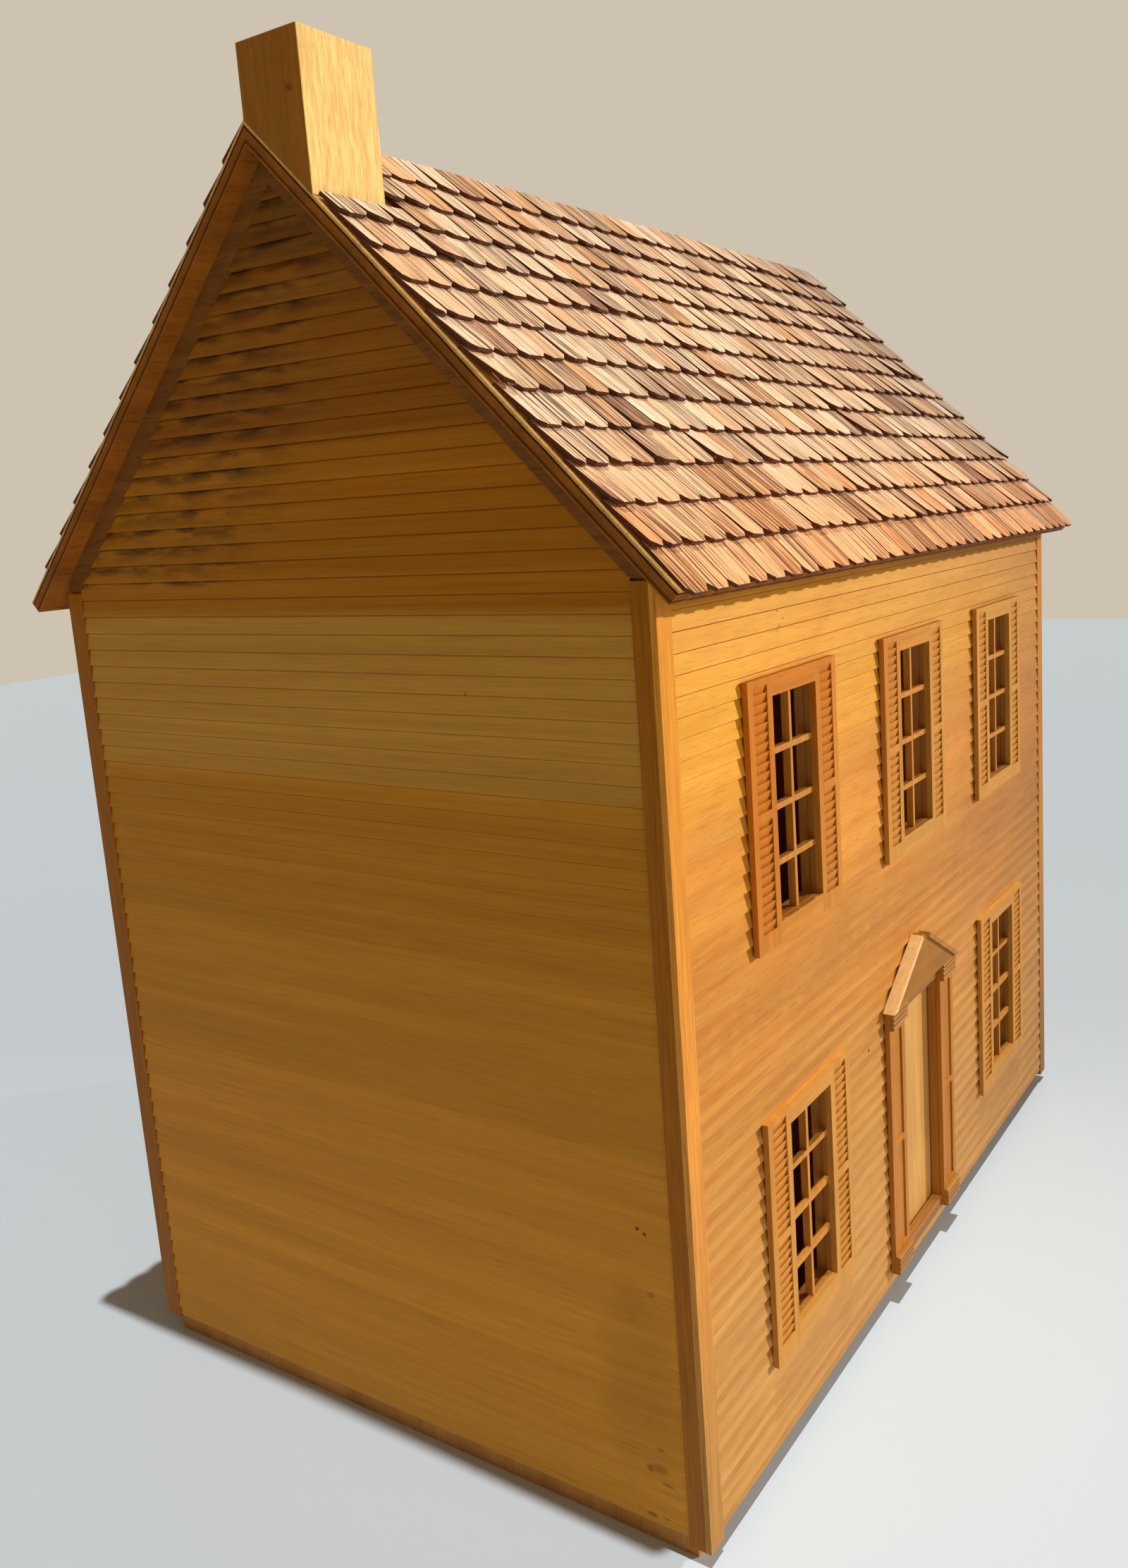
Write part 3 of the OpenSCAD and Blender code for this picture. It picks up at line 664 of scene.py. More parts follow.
@dataclass(frozen=True)
class Plastic(Finish):
    """Moulded plastic with a fine spark-eroded texture."""

    body: str
    pale: str
    roughness: float = 0.5
    grit_mm: float = 0.35

    def draw(self, graph: Graph, place: Any) -> None:
        """Draws the plastic, its gloss broken by the mould's fine texture.

        Args:
            graph: The material's nodes.
            place: Position in millimetres.
        """
        grit = graph.noise(place, (self.grit_mm,) * 3, detail=2.0)
        stops = [(0.3, linear(self.body)), (0.8, linear(self.pale))]
        colour = graph.add("ValToRGB", grit, stops=stops)
        inputs = {"Base Color": colour, "Roughness": self.roughness, "IOR": 1.49}
        graph.surface(inputs, grit, 0.3, 0.03)


@dataclass(frozen=True)
class Laminate(Finish):
    """A matt laminate table top with a fine orange-peel sheen."""

    body: str
    peel_mm: float = 10 / 9

    def draw(self, graph: Graph, place: Any) -> None:
        """Draws the laminate's even colour and its fine peel.

        Args:
            graph: The material's nodes.
            place: Position in millimetres.
        """
        peel = graph.noise(place, (self.peel_mm,) * 3, detail=2.0)
        inputs = {
            "Base Color": linear(self.body), "Roughness": 0.55, "IOR": 1.45,
            "Specular IOR Level": 0.3,
        }
        graph.surface(inputs, peel, 0.1, 0.1)


# ---- Sub-assemblies ----


@dataclass
class Dresser:
    """Gives the frame's solids their finishes, making each finish once."""

    nodes: Dict[str, bpy.types.Object]
    made: Dict[str, bpy.types.Material] = field(default_factory=dict)

    def finish(self, finish: Finish) -> bpy.types.Material:
        """Makes a finish on its first use.

        Args:
            finish: The finish.

        Returns:
            Its material.
        """
        if finish.name not in self.made:
            self.made[finish.name] = finish.material()
        return self.made[finish.name]

    def dress(self, finish: Finish, *names: str) -> None:
        """Puts one finish on whole nodes.

        Args:
            finish: The finish.
            *names: Names of the frame's nodes.
        """
        material = self.finish(finish)
        for name in names:
            slots = self.nodes[name].data.materials
            slots.clear()
            slots.append(material)
            LOG.info("%s: %s", name, finish.name)


@dataclass
class Shell:
    """Plywood walls, floors, partitions and plinth rails."""

    walls: Tuple[str, ...] = ("left_wall", "right_wall", "front_wall")
    floors: Tuple[str, ...] = ("ground_floor", "upper_floor", "attic_floor")
    partitions: Tuple[str, ...] = ("ground_partitions", "upper_partitions")

    def dress(self, dresser: Dresser) -> None:
        """Finishes the plywood and the plinth rails.

        Args:
            dresser: Keeps the finishes.
        """
        # Birch veneer, peeled and oiled: an even honey face with long soft streaks.
        upright = Wood(
            "birch_plywood_upright_oiled", "#c98743", "#dba25c", "#a8672b", Axis.Z, figure=14.0
        )
        level = Wood(
            "birch_plywood_level_oiled", "#cc8c48", "#dfa863", "#ab6b2e", Axis.X, figure=14.0
        )
        # Pine strip under the walls, painted dark red-brown as the shade under the siding's
        # overhang.
        plinth = Wood(
            "pine_strip_painted_shade", "#502b10", "#613819", "#341808", Axis.X, figure=3.0, pores=0.4,
            roughness=0.6,
        )
        dresser.dress(upright, *self.walls, *self.partitions)
        dresser.dress(level, *self.floors)
        dresser.dress(plinth, "plinth_rails")


@dataclass
class Cladding:
    """Milled clapboard sheets, corner boards and friezes.

    Stains are written as place along the wall, height, size along the wall, height of the stain
    and strength, and reach deep into the siding.
    """

    # Front sheets from the foot up: the lower ones are duller and darker, partly painted shade
    # where less light falls.
    front_tones: Tuple[str, ...] = (
        "#c18b4a", "#c38d4b", "#c4853d", "#c27c2f", "#e1922f", "#f4aa20", "#eca622", "#eca622",
        "#eca622",
    )
    # Gable sheets from the foot up: the peak ones are darker, partly painted shade under the rake.
    gable_tones: Tuple[str, ...] = (
        "#e59d2c", "#ea9d2c", "#e4972b", "#d78f23", "#cf871c", "#d5993d", "#ba6d05", "#995002",
        "#703601",
    )
    front_y: float = -204.0
    left_x: float = -295.0
    front_stains: Tuple[Tuple[float, ...], ...] = (
        (-179.6, 454.6, 1.6, 0.9, 0.6), (-174.5, 450.2, 1.2, 0.8, 0.55),
        (-84.6, 181.7, 1.8, 1.2, 0.8), (-180.0, 446.0, 2.4, 3.0, 0.3),
    )
    left_stains: Tuple[Tuple[float, ...], ...] = (
        (-172.7, 172.6, 1.5, 1.2, 0.85), (-176.9, 170.9, 1.3, 1.0, 0.85),
        (-95.4, 427.6, 0.9, 0.9, 0.6), (-176.3, 43.8, 6.0, 4.0, 0.35),
        (-168.0, 90.0, 30.0, 60.0, 0.16), (-177.4, 54.8, 3.4, 1.6, 0.5),
        (-170.6, 42.5, 3.0, 2.6, 0.45), (-181.1, 36.1, 5.0, 2.0, 0.5),
        (-169.7, 15.7, 4.0, 1.8, 0.5), (-178.5, 16.6, 3.0, 1.4, 0.5),
        (-163.6, 17.1, 2.6, 1.4, 0.4), (-177.4, 138.8, 2.6, 1.8, 0.3),
        (-166.4, 122.5, 0.9, 0.9, 0.6),
    )
    stain_depth: float = 4.0
    broad: float = 20.0
    broad_depth: float = 9.0

    def depth(self, size: float) -> float:
        """Returns how deep a stain reaches, further for a broad one."""
        return self.broad_depth if size > self.broad else self.stain_depth

    def clapboards(self, dresser: Dresser) -> None:
        """Finishes the clapboards side by side.

        Args:
            dresser: Keeps the finishes.
        """
        front_marks = tuple(
            Mark((x, self.front_y, z), (size, self.depth(size), tall), strength)
            for x, z, size, tall, strength in self.front_stains
        )
        left_marks = tuple(
            Mark((self.left_x, y, z), (self.depth(size), size, tall), strength)
            for y, z, size, tall, strength in self.left_stains
        )
        # Milled basswood siding, oiled amber: fine level streaks that drift from sheet to sheet.
        front = Wood(
            "basswood_siding_front_oiled", "#f0a552", "#f6bf64", "#cf802f", Axis.X, figure=6.0,
            fibre=0.9, long=16.0, contrast=1.2, pores=0.16, mottle=0.08, strength=0.42,
            # A faint painted sheen: pale slanting patches that stand for the oil's reflection.
            painted_sheen=0.045, sheets=Sheets(self.front_tones, soft=0.3),
            # Painted shade: darker towards the upper right of the front, where the light falls off.
            fades=(Fade((0.6, 0.0, 0.8), (190.0, 510.0), "#cdcafa"),), marks=front_marks,
        )
        left = Wood(
            "basswood_siding_left_gable_oiled", "#e3a055", "#e0aa3e", "#ad6a12", Axis.Y,
            figure=5.0, fibre=0.8, long=42.0, contrast=1.3, pores=0.13, mottle=0.08, strength=0.4,
            sheets=Sheets(self.gable_tones, smudge=Smudge()), marks=left_marks,
        )
        right = replace(
            left, name="basswood_siding_right_gable_oiled", offset=(310.0, 170.0, 40.0),
            sheets=Sheets(self.gable_tones), marks=(),
        )
        rear = Wood(
            "basswood_siding_rear_oiled", "#eaa14f", "#efb65c", "#bd7426", Axis.X, figure=7.0,
            fibre=0.9, long=16.0, contrast=1.1, pores=0.12, mottle=0.12,
            offset=(150.0, 90.0, 20.0), sheets=Sheets(self.gable_tones),
        )
        dresser.dress(front, "front_clapboards")
        dresser.dress(left, "left_clapboards")
        dresser.dress(right, "right_clapboards")
        dresser.dress(rear, "left_rear_clapboards", "right_rear_clapboards", "rear_header")

    def trim(self, dresser: Dresser) -> None:
        """Finishes the corner boards and friezes.

        Args:
            dresser: Keeps the finishes.
        """
        # Pine corner boards: straight fine upright grain, a darker line at each growth ring.
        face = Wood(
            "pine_corner_board_planed_oiled", "#ed9838", "#fcb556", "#b0661f", Axis.Z, figure=1.1,
            fibre=0.4, long=40.0, contrast=1.3, pores=0.3, mottle=0.04, strength=0.7,
            # Painted light and shade: yellower at the top, duller at the foot, darker to the right.
            fades=(
                Fade((0.0, 0.0, 1.0), (180.0, 440.0), "#fffdc8"),
                Fade((0.0, 0.0, -1.0), (-230.0, -40.0), "#cfe0ff"),
                Fade((1.0, 0.0, 0.0), (0.0, 200.0), "#dcdce6"),
            ),
        )
        # The boards round the corner are darker.
        edge = Wood(
            "pine_corner_edge_planed_dark_oiled", "#ae691b", "#bc7d21", "#83480c", Axis.Z,
            figure=1.1, fibre=0.5, long=40.0, contrast=1.3, pores=0.28, mottle=0.05, strength=0.8,
            fades=(Fade((0.0, 0.0, 1.0), (40.0, 170.0), "#fff438"),),
        )
        # Frieze boards left rough from the saw and oiled dark.
        frieze = Wood(
            "pine_frieze_sawn_oiled", "#8a5420", "#9a652b", "#5b300d", Axis.Y, figure=3.0,
            fibre=0.6, long=18.0, contrast=1.3, pores=0.35, mottle=0.2, roughness=0.62,
            relief=0.12,
        )
        dresser.dress(face, "front_corner_boards")
        dresser.dress(edge, "side_corner_boards")
        dresser.dress(frieze, "frieze_boards")


class Slope(Enum):
    """The two slopes of the roof: sign of their outward Y and seed of their shingles."""

    FRONT = (-1.0, 3)
    REAR = (1.0, 71)


@dataclass
class Pile:
    """The growing mesh of one slope: points, and each face's slot, tone and grain map."""

    verts: List[Vector] = field(default_factory=list)
    faces: List[Tuple[int, ...]] = field(default_factory=list)
    kinds: List[int] = field(default_factory=list)
    tones: List[float] = field(default_factory=list)
    grain: List[Pair] = field(default_factory=list)

    def flip(self) -> None:
        """Turns every face over, and its corners on the grain map with it."""
        turned: List[Pair] = []
        start = 0
        for face in self.faces:
            turned.extend(reversed(self.grain[start : start + len(face)]))
            start += len(face)
        self.grain = turned
        self.faces = [tuple(reversed(face)) for face in self.faces]

    def mesh(self, name: str, points: List[Vector]) -> bpy.types.Object:
        """Makes the mesh object.

        Args:
            name: Name of the mesh and its object.
            points: The points where they lie in the house, in metres.

        Returns:
            The object, linked to the scene.
        """
        mesh = bpy.data.meshes.new(name)
        mesh.from_pydata(points, [], self.faces)
        mesh.attributes.new("tone", "FLOAT", "FACE").data.foreach_set("value", self.tones)
        mesh.polygons.foreach_set("material_index", self.kinds)
        layer = mesh.uv_layers.new(name="grain")
        layer.data.foreach_set("uv", [value for pair in self.grain for value in pair])
        mesh.update()
        return stand(name, mesh)


@dataclass(frozen=True)
class Course:
    """One course: its number, its butts' place up the slope, its slope and its butts' height."""

    number: int
    butt: float
    lean: float
    lift: float


@dataclass
class Shingles:
    """Courses of split cedar shingles on one slope, laid on the frame's own setting-out.

    Each pair of numbers but tone_spread is the range in which shingles differ: clip and slant for
    their corners, split for their thickness, twisted and level for their twist. The butts of the
    curl_share curl up, and the others lift by up to flat_lift. Clips leave least_butt of the butt's
    width and least_top of the length. The lowest course curls and rises only in part, and seats is
    how far the two faces of a shingle lie above its seat.
    """

    slope: Slope
    exposure: float = 25.3
    drift: float = 0.18
    lip: float = 4.0
    overlap: float = 6.0
    width: float = 18.3
    thick: float = 1.9
    clip: float = 4.6
    inset: float = 2.0
    slit: float = 0.7
    slack: float = 0.05
    stagger: float = 0.12
    most_courses: int = 40
    least_course: float = 6.0
    least_butt: float = 2.0
    least_top: float = 1.2
    butt_row: float = 2.6
    seats: Pair = (0.05, 0.15)
    margin: float = 0.4
    chimney_play: float = 0.3
    sliver: float = 2.0
    clip_range: Pair = (0.72, 1.05)
    slant_range: Pair = (0.85, 1.1)
    split_range: Pair = (0.82, 1.0)
    curl_share: float = 0.25
    curl: float = 2.2
    curl_power: float = 1.05
    flat_lift: float = 0.45
    first_curl: float = 0.3
    first_rise: float = 0.4
    twist_share: float = 0.4
    twisted: Pair = (-1.5, -0.3)
    level: Pair = (-0.3, 0.3)
    cup_range: Pair = (-0.12, 0.16)
    cup_middle: float = 0.4
    tone_spread: Pair = (0.5, 0.2)
    grain_run: float = 900.0
    grain_step: float = 1.7
    skew: float = 0.02
    columns: int = 5
    rows: int = 4

    def wobble(self, a: float, b: float) -> float:
        """Returns the setting-out's repeatable number from 0 to 1."""
        value = math.sin(math.radians(a * 127.1 + b * 311.7)) * 43758.5453
        return value - math.floor(value)

    def edges(self, course: int, count: int, span: float) -> List[float]:
        """Places the edges of one course's shingles along the eave.

        Args:
            course: Number of the course, from the eave.
            count: Shingles in the course.
            span: Length of the course.

        Returns:
            The edges' places in millimetres.
        """
        seed = self.slope.value[1]
        places = [i - 0.5 * (course % 2) for i in range(1, count + course % 2)]
        moves = [self.stagger * (self.wobble(i + seed, course + 1) - 0.5) for i in places]
        return [0.0, *((i + move) * span / count for i, move in zip(places, moves)), span]

    def butt(self, course: int) -> float:
        """Returns the place of a course's butts up the slope from the board's edge."""
        return course * self.exposure - self.drift * course * (course - 1) / 2 - self.lip

    def course(self, number: int, tilt: float) -> Course:
        """Sets out one course.

        Args:
            number: Number of the course, from the eave.
            tilt: How far a course leans against the one under it.

        Returns:
            The course; the lowest one lies flat on the board.
        """
        if number == 0:
            return Course(0, self.butt(0) + self.margin, 0.0, self.slack)
        lift = (self.exposure + self.overlap) * math.sin(tilt) + self.slack
        return Course(number, self.butt(number), tilt, lift)

    def build(self, board: Box, chimney: Box) -> bpy.types.Object:
        """Builds every shingle of the slope as one mesh.

        Args:
            board: Box of the roof board under the shingles, in metres.
            chimney: Box of the chimney, which the front shingles are cut round.

        Returns:
            The mesh object, with a tone and a grain map for each shingle.
        """
        side, seed = self.slope.value
        rng = random.Random(seed)
        low, high = board
        run = abs(low.y if side < 0 else high.y) / MM
        length = run * math.sqrt(2)
        span = (high.x - low.x) / MM - 2 * self.inset
        count = round(span / self.width)
        courses = sum(
            1 for k in range(self.most_courses) if self.butt(k) < length - self.least_course
        )
        least = self.exposure - self.drift * (courses - 1)
        tilt = math.asin((self.thick + self.slack) / least)
        origin = Vector((low.x / MM + self.inset, -run, high.z / MM - run))
        up = Vector((0.0, 1.0, 1.0)).normalized()
        out = Vector((0.0, -1.0, 1.0)).normalized()
        stack_x = chimney[1].x / MM - origin.x + self.chimney_play
        stack_y = (run + chimney[0].y / MM - self.chimney_play) * math.sqrt(2)
        pile = Pile()
        for number in range(courses):
            edges = self.edges(number, count, span)
            course = self.course(number, tilt)
            reach = min(self.exposure + self.overlap, length - course.butt - self.margin)
            under = side < 0 and course.butt + reach * math.cos(course.lean) > stack_y
            for left, right in zip(edges, edges[1:]):
                x0, x1 = left + self.slit / 2, right - self.slit / 2
                top = reach
                if under and x0 < stack_x:
                    below = course.butt + self.sliver < stack_y
                    if below and x0 < stack_x - self.sliver:
                        top = min(reach, stack_y - course.butt)
                    elif x1 > stack_x + self.sliver:
                        x0 = max(x0, stack_x)
                    else:
                        continue
                self.shingle(rng, pile, course, (x0, x1), top)
        if side > 0:
            pile.flip()
        place = [origin + Vector((v.x, 0.0, 0.0)) + up * v.y + out * v.z for v in pile.verts]
        points = [Vector((p.x, -side * p.y, p.z)) * MM for p in place]
        return pile.mesh(f"cedar_shingles_{self.slope.name.lower()}", points)

    def shingle(
        self, rng: random.Random, pile: Pile, course: Course, across: Pair, length: float
    ) -> None:
        """Adds one shingle: clipped corners, a slight cup and, now and then, a curled butt.

        Args:
            rng: Source of the small differences.
            pile: The slope's mesh, as place along the eave, up the slope and out of it.
            course: Its course.
            across: Its two edges along the eave.
            length: Its length.
        """
        first = course.number == 0
        width = across[1] - across[0]
        widest = (width - self.least_butt) / 2
        clips = [min(self.clip * rng.uniform(*self.clip_range), widest) for _ in range(2)]
        tall = [min(c * rng.uniform(*self.slant_range), length - self.least_top) for c in clips]
        thick = self.thick * rng.uniform(*self.split_range)
        curled = rng.random() < self.curl_share
        curl = (self.curl if curled else self.flat_lift) * rng.random()
        twist = rng.uniform(*(self.twisted if rng.random() < self.twist_share else self.level))
        if first:
            curl, twist = self.first_curl * curl, 0.0
        curl += abs(twist) / 2
        cup = rng.uniform(*self.cup_range)
        tone = min(max(rng.gauss(*self.tone_spread), 0.0), 1.0)
        start = rng.uniform(0.0, self.grain_run)
        skew = rng.uniform(-self.skew, self.skew)
        base = len(pile.verts)
        nc, nr = self.columns, self.rows

        def outline(row: int, column: int) -> Pair:
            """Finds a grid point's place from the left end of the butt.

            Args:
                row: Its row, from the clipped butt to the square top.
                column: Its column, from left to right.

            Returns:
                Its place along the eave and up the shingle.
            """
            u = column / nc
            if row == 0:
                return clips[0] + (width - clips[0] - clips[1]) * u, 0.0
            if row == 1:
                y = tall[0] * (1 - u) + tall[1] * u
                return width * u, (min(y, self.butt_row) if 0 < column < nc else y)
            return width * u, max(tall) + (length - max(tall)) * (row - 1) / (nr - 1)

        for layer in (0, 1):
            for point in range((nr + 1) * (nc + 1)):
                row, column = divmod(point, nc + 1)
                x, y = outline(row, column)
                u = column / nc
                free = max(0.0, 1 - y / max(length, 1.0))
                rise = curl * free**self.curl_power + twist * (u - 0.5) * free
                rise += cup * (4 * (u - 0.5) ** 2 - self.cup_middle) * free
                if first:
                    rise = max(0.0, rise) * self.first_rise
                height = course.lift - y * math.sin(course.lean) + rise
                height += self.seats[layer] + layer * thick
                along = course.butt + y * math.cos(course.lean)
                pile.verts.append(Vector((across[0] + x, along, height)))
        ring = nc + 1
        bottom, top = base, base + ring * (nr + 1)

        def add(kind: int, *face: int) -> None:
            """Adds a face with its tone and its corners on the grain map.

            Args:
                kind: Material slot of the face: 0 split, 1 sawn.
                *face: Numbers of its points.
            """
            pile.faces.append(face)
            pile.kinds.append(kind)
            pile.tones.append(tone)
            for k in face:
                v = pile.verts[k]
                along = v.y - course.butt
                shift = start + v.x - across[0] + along * skew
                pile.grain.append((shift * MM, (start * self.grain_step + along) * MM))

        for r in range(nr):
            for c in range(nc):
                a = r * ring + c
                add(0, top + a, top + a + 1, top + a + ring + 1, top + a + ring)
                add(0, bottom + a, bottom + a + ring, bottom + a + ring + 1, bottom + a + 1)
        rim = [r * ring for r in range(nr, 0, -1)] + list(range(ring))
        rim += [r * ring + nc for r in range(1, nr + 1)]
        rim += [nr * ring + c for c in range(nc - 1, 0, -1)]
        for a, b in zip(rim, rim[1:] + rim[:1]):
            add(1, bottom + a, bottom + b, top + b, top + a)

    def dress(self, piece: bpy.types.Object, dresser: Dresser) -> None:
        """Gives the shingles their split faces and sawn ends.

        Args:
            piece: The slope's shingles.
            dresser: Keeps the finishes.
        """
        for finish in (CedarFace(), CedarEnd()):
            piece.data.materials.append(dresser.finish(finish))
        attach(piece, "house")
        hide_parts(f"{self.slope.name.lower()}_shingles")
        LOG.info("%s: %d shingle faces", piece.name, len(piece.data.polygons))


@dataclass
class Roof:
    """Two plywood roof boards with their plies showing along the rakes."""

    plies: Tuple[Tuple[float, str], ...] = (
        (-0.6, "#ffffff"), (1.1, "#ffedc4"), (1.35, "#482a0c"), (2.1, "#482a0c"),
        (2.4, "#b38b4f"), (5.6, "#a67c41"), (5.9, "#6f4c1f"), (6.9, "#6f4c1f"),
        (7.2, "#bb9353"), (7.95, "#b08546"),
    )

    def board(self, name: str, box: Box, side: float) -> Wood:
        """Works out the finish of one roof board, its plies laid under its own face.

        Args:
            name: Name of the finish.
            box: Box of the board, in metres.
            side: Sign of the slope's outward Y.

        Returns:
            The finish.
        """
        half = math.sqrt(0.5)
        # Plywood, sawn square: a rough pale face veneer over plies of alternating dark and light.
        return Wood(
            name, "#f0b868", "#f6c87c", "#c08c40", Axis.X, figure=4.0, fibre=0.8, long=10.0,
            contrast=1.3, pores=0.35, mottle=0.2, roughness=0.7, relief=0.15, layers=self.plies,
            layer_normal=(0.0, side * half, half), layer_top=box[1].z / MM * half,
        )

    def dress(self, dresser: Dresser) -> None:
        """Finishes both boards.

        Args:
            dresser: Keeps the finishes.
        """
        for slope in Slope:
            node = f"{slope.name.lower()}_roof_board"
            side = slope.value[0]
            dresser.dress(self.board(f"plywood_{node}_sawn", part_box(node), side), node)


@dataclass
class Chimney:
    """A solid block standing on the ridge, its arrises eased by wear."""

    ease: float = 0.7

    def build(self, box: Box) -> bpy.types.Object:
        """Builds the block with its sloping foot and eased edges.

        Args:
            box: Box of the frame's chimney, in metres.

        Returns:
            The mesh object.
        """
        low, high = box
        ridge = low.z + (high.y - low.y)
        outline = [(low.y, low.z), (high.y, ridge), (high.y, high.z), (low.y, high.z)]
        work = bmesh.new()
        rows = [[work.verts.new((x, y, z)) for y, z in outline] for x in (low.x, high.x)]
        work.faces.new(rows[0])
        work.faces.new(list(reversed(rows[1])))
        for i in range(4):
            j = (i + 1) % 4
            work.faces.new((rows[0][j], rows[0][i], rows[1][i], rows[1][j]))
        upper = [e for e in work.edges if max(v.co.z for v in e.verts) > high.z - 1e-6]
        bmesh.ops.bevel(
            work, geom=upper, offset=self.ease * MM, segments=2, profile=0.6, affect="EDGES"
        )
        bmesh.ops.recalc_face_normals(work, faces=work.faces)
        for face in work.faces:
            # The gable side has its own material slot.
            face.material_index = int(face.normal.x < -0.9)
        mesh = bpy.data.meshes.new("chimney_block")
        work.to_mesh(mesh)
        work.free()
        return stand("chimney_block", mesh)

    def dress(self, piece: bpy.types.Object, dresser: Dresser) -> None:
        """Finishes the block in pale pine, and its gable side in dark.

        Args:
            piece: The chimney.
            dresser: Keeps the finishes.
        """
        # Pine block, planed: pale yellow between short upright flecks of orange.
        pine = Wood(
            "pine_block_planed_flecked", "#f5cc6f", "#fce392", "#da8b27", Axis.Z, figure=1.6,
            fibre=0.5, long=12.0, contrast=0.7, pores=0.26, mottle=0.08, roughness=0.5,
            strength=0.9,
        )
        # The gable side of the same block, darker olive brown, with one knot.
        side = Wood(
            "pine_block_side_dark_oiled", "#ac6a1e", "#b2772b", "#934808", Axis.Z, figure=2.2,
            fibre=0.5, long=14.0, contrast=0.9, pores=0.22, mottle=0.1, roughness=0.55,
            marks=(Mark((-306.0, -32.0, 706.0), (6.0, 2.4, 2.4), 0.45),),
        )
        for finish in (pine, side):
            piece.data.materials.append(dresser.finish(finish))
        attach(piece, "house")
        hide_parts("chimney")
        LOG.info("%s: %s", piece.name, pine.name)


@dataclass
class Windows:
    """Five windows: fixed louvred shutters, plain heads and sills, and glazing bars.

    The trim is painted yellower towards the upper left, as painted light where the lamp falls
    strongest, between the two distances in oiled along that way.
    """

    places: Tuple[str, ...] = (
        "upper_left", "upper_middle", "upper_right", "lower_left", "lower_right",
    )
    # Way towards the upper left, where the painted light is strongest.
    toward_light: Triple = (-0.7, 0.0, 0.7)
    # Distances along that way at which the painted light begins and is full.
    oiled: Pair = (225.0, 400.0)

    def dress(self, dresser: Dresser) -> None:
        """Finishes each window's pieces.

        Args:
            dresser: Keeps the finishes.
        """
        # Basswood trim, sanded and oiled: even orange with faint upright grain.
        shutters = Wood(
            "basswood_shutter_sanded_oiled", "#d0923c", "#de9f4a", "#b4702a", Axis.Z, figure=3.0,
            fibre=0.5, contrast=0.9, pores=0.12, mottle=0.1,
            # Painted light: yellower towards the upper left.
            fades=(Fade(self.toward_light, self.oiled, "#ffd986"),),
        )
        boards = replace(
            shutters, name="basswood_window_board_sanded_oiled", body="#d1943e", pale="#de9f48",
            # The same painted light on the heads and sills.
            grain=Axis.X, fades=(Fade(self.toward_light, self.oiled, "#ffda8e"),),
        )
        bars = Wood(
            "basswood_glazing_bar_sanded_oiled", "#d08934", "#e2a550", "#a66320", Axis.Z,
            figure=2.0, fibre=0.4, contrast=0.8, pores=0.12, mottle=0.1,
        )
        for place in self.places:
            dresser.dress(shutters, f"{place}_shutters")
            dresser.dress(boards, f"{place}_window_boards")
            dresser.dress(bars, f"{place}_glazing_bars")


@dataclass
class Reveals:
    """Thin strips that line the siding's cut ends inside the window and door openings."""

    thick: float = 0.45
    ease: float = 0.12
    wall_lap: float = 0.6
    door_gap: float = 0.4
    door_back: float = 0.9
    sill_gap: float = 2.0

    def strips(self, name: str, low: Vector, high: Vector, *sides: str) -> bpy.types.Object:
        """Builds the strips of one opening as eased boards.

        Args:
            name: Name of the piece.
            low: Lowest corner of the opening, in metres.
            high: Highest corner of the opening, in metres.
            *sides: Which sides are lined, out of left, right, head and sill.

        Returns:
            The mesh object.
        """
        deep = self.thick * MM
        spans = {
            "left": (low, Vector((low.x + deep, high.y, high.z))),
            "right": (Vector((high.x - deep, low.y, low.z)), high),
            "sill": (low, Vector((high.x, high.y, low.z + deep))),
            "head": (Vector((low.x, low.y, high.z - deep)), high),
        }
        work = bmesh.new()
        for side in sides:
            a, b = spans[side]
            made = bmesh.ops.create_cube(work, size=1.0)["verts"]
            for vert in made:
                middle = ((a[k] + b[k]) / 2 + vert.co[k] * (b[k] - a[k]) for k in range(3))
                vert.co = Vector(middle)
            edges = list({edge for vert in made for edge in vert.link_edges})
            bmesh.ops.bevel(work, geom=edges, offset=self.ease * MM, segments=1, affect="EDGES")
        mesh = bpy.data.meshes.new(name)
        work.to_mesh(mesh)
        work.free()
        return stand(name, mesh)

    def dress(self, places: Sequence[str], dresser: Dresser) -> None:
        """Lines every opening.

        Args:
            places: The windows' names.
            dresser: Keeps the finishes.
        """
        # Basswood strip, sanded and oiled, darker than the trim.
        strip = Wood(
            "basswood_reveal_strip_oiled", "#b9792f", "#c98d43", "#8f5319", Axis.Z, figure=3.0,
            fibre=0.5, contrast=0.9, pores=0.14, mottle=0.08, roughness=0.55,
        )
        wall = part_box("front_wall")[0].y
        pieces = []
        for place in places:
            low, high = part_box(f"{place}_glazing_bars")
            far = Vector((high.x, wall + self.wall_lap * MM, high.z))
            name = f"{place}_reveal_strips"
            pieces.append(self.strips(name, low, far, "left", "right", "head", "sill"))
        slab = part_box("front_door")
        gap = self.door_gap * MM
        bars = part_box("upper_left_glazing_bars")[0].y
        low = Vector((slab[0].x - gap, bars, slab[0].z + self.sill_gap * MM))
        far = Vector((slab[1].x + gap, slab[0].y - self.door_back * MM, slab[1].z + gap))
        pieces.append(self.strips("door_reveal_strips", low, far, "left", "right", "head"))
        for piece in pieces:
            piece.data.materials.append(dresser.finish(strip))
            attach(piece, "house")
            LOG.info("%s: %s", piece.name, strip.name)


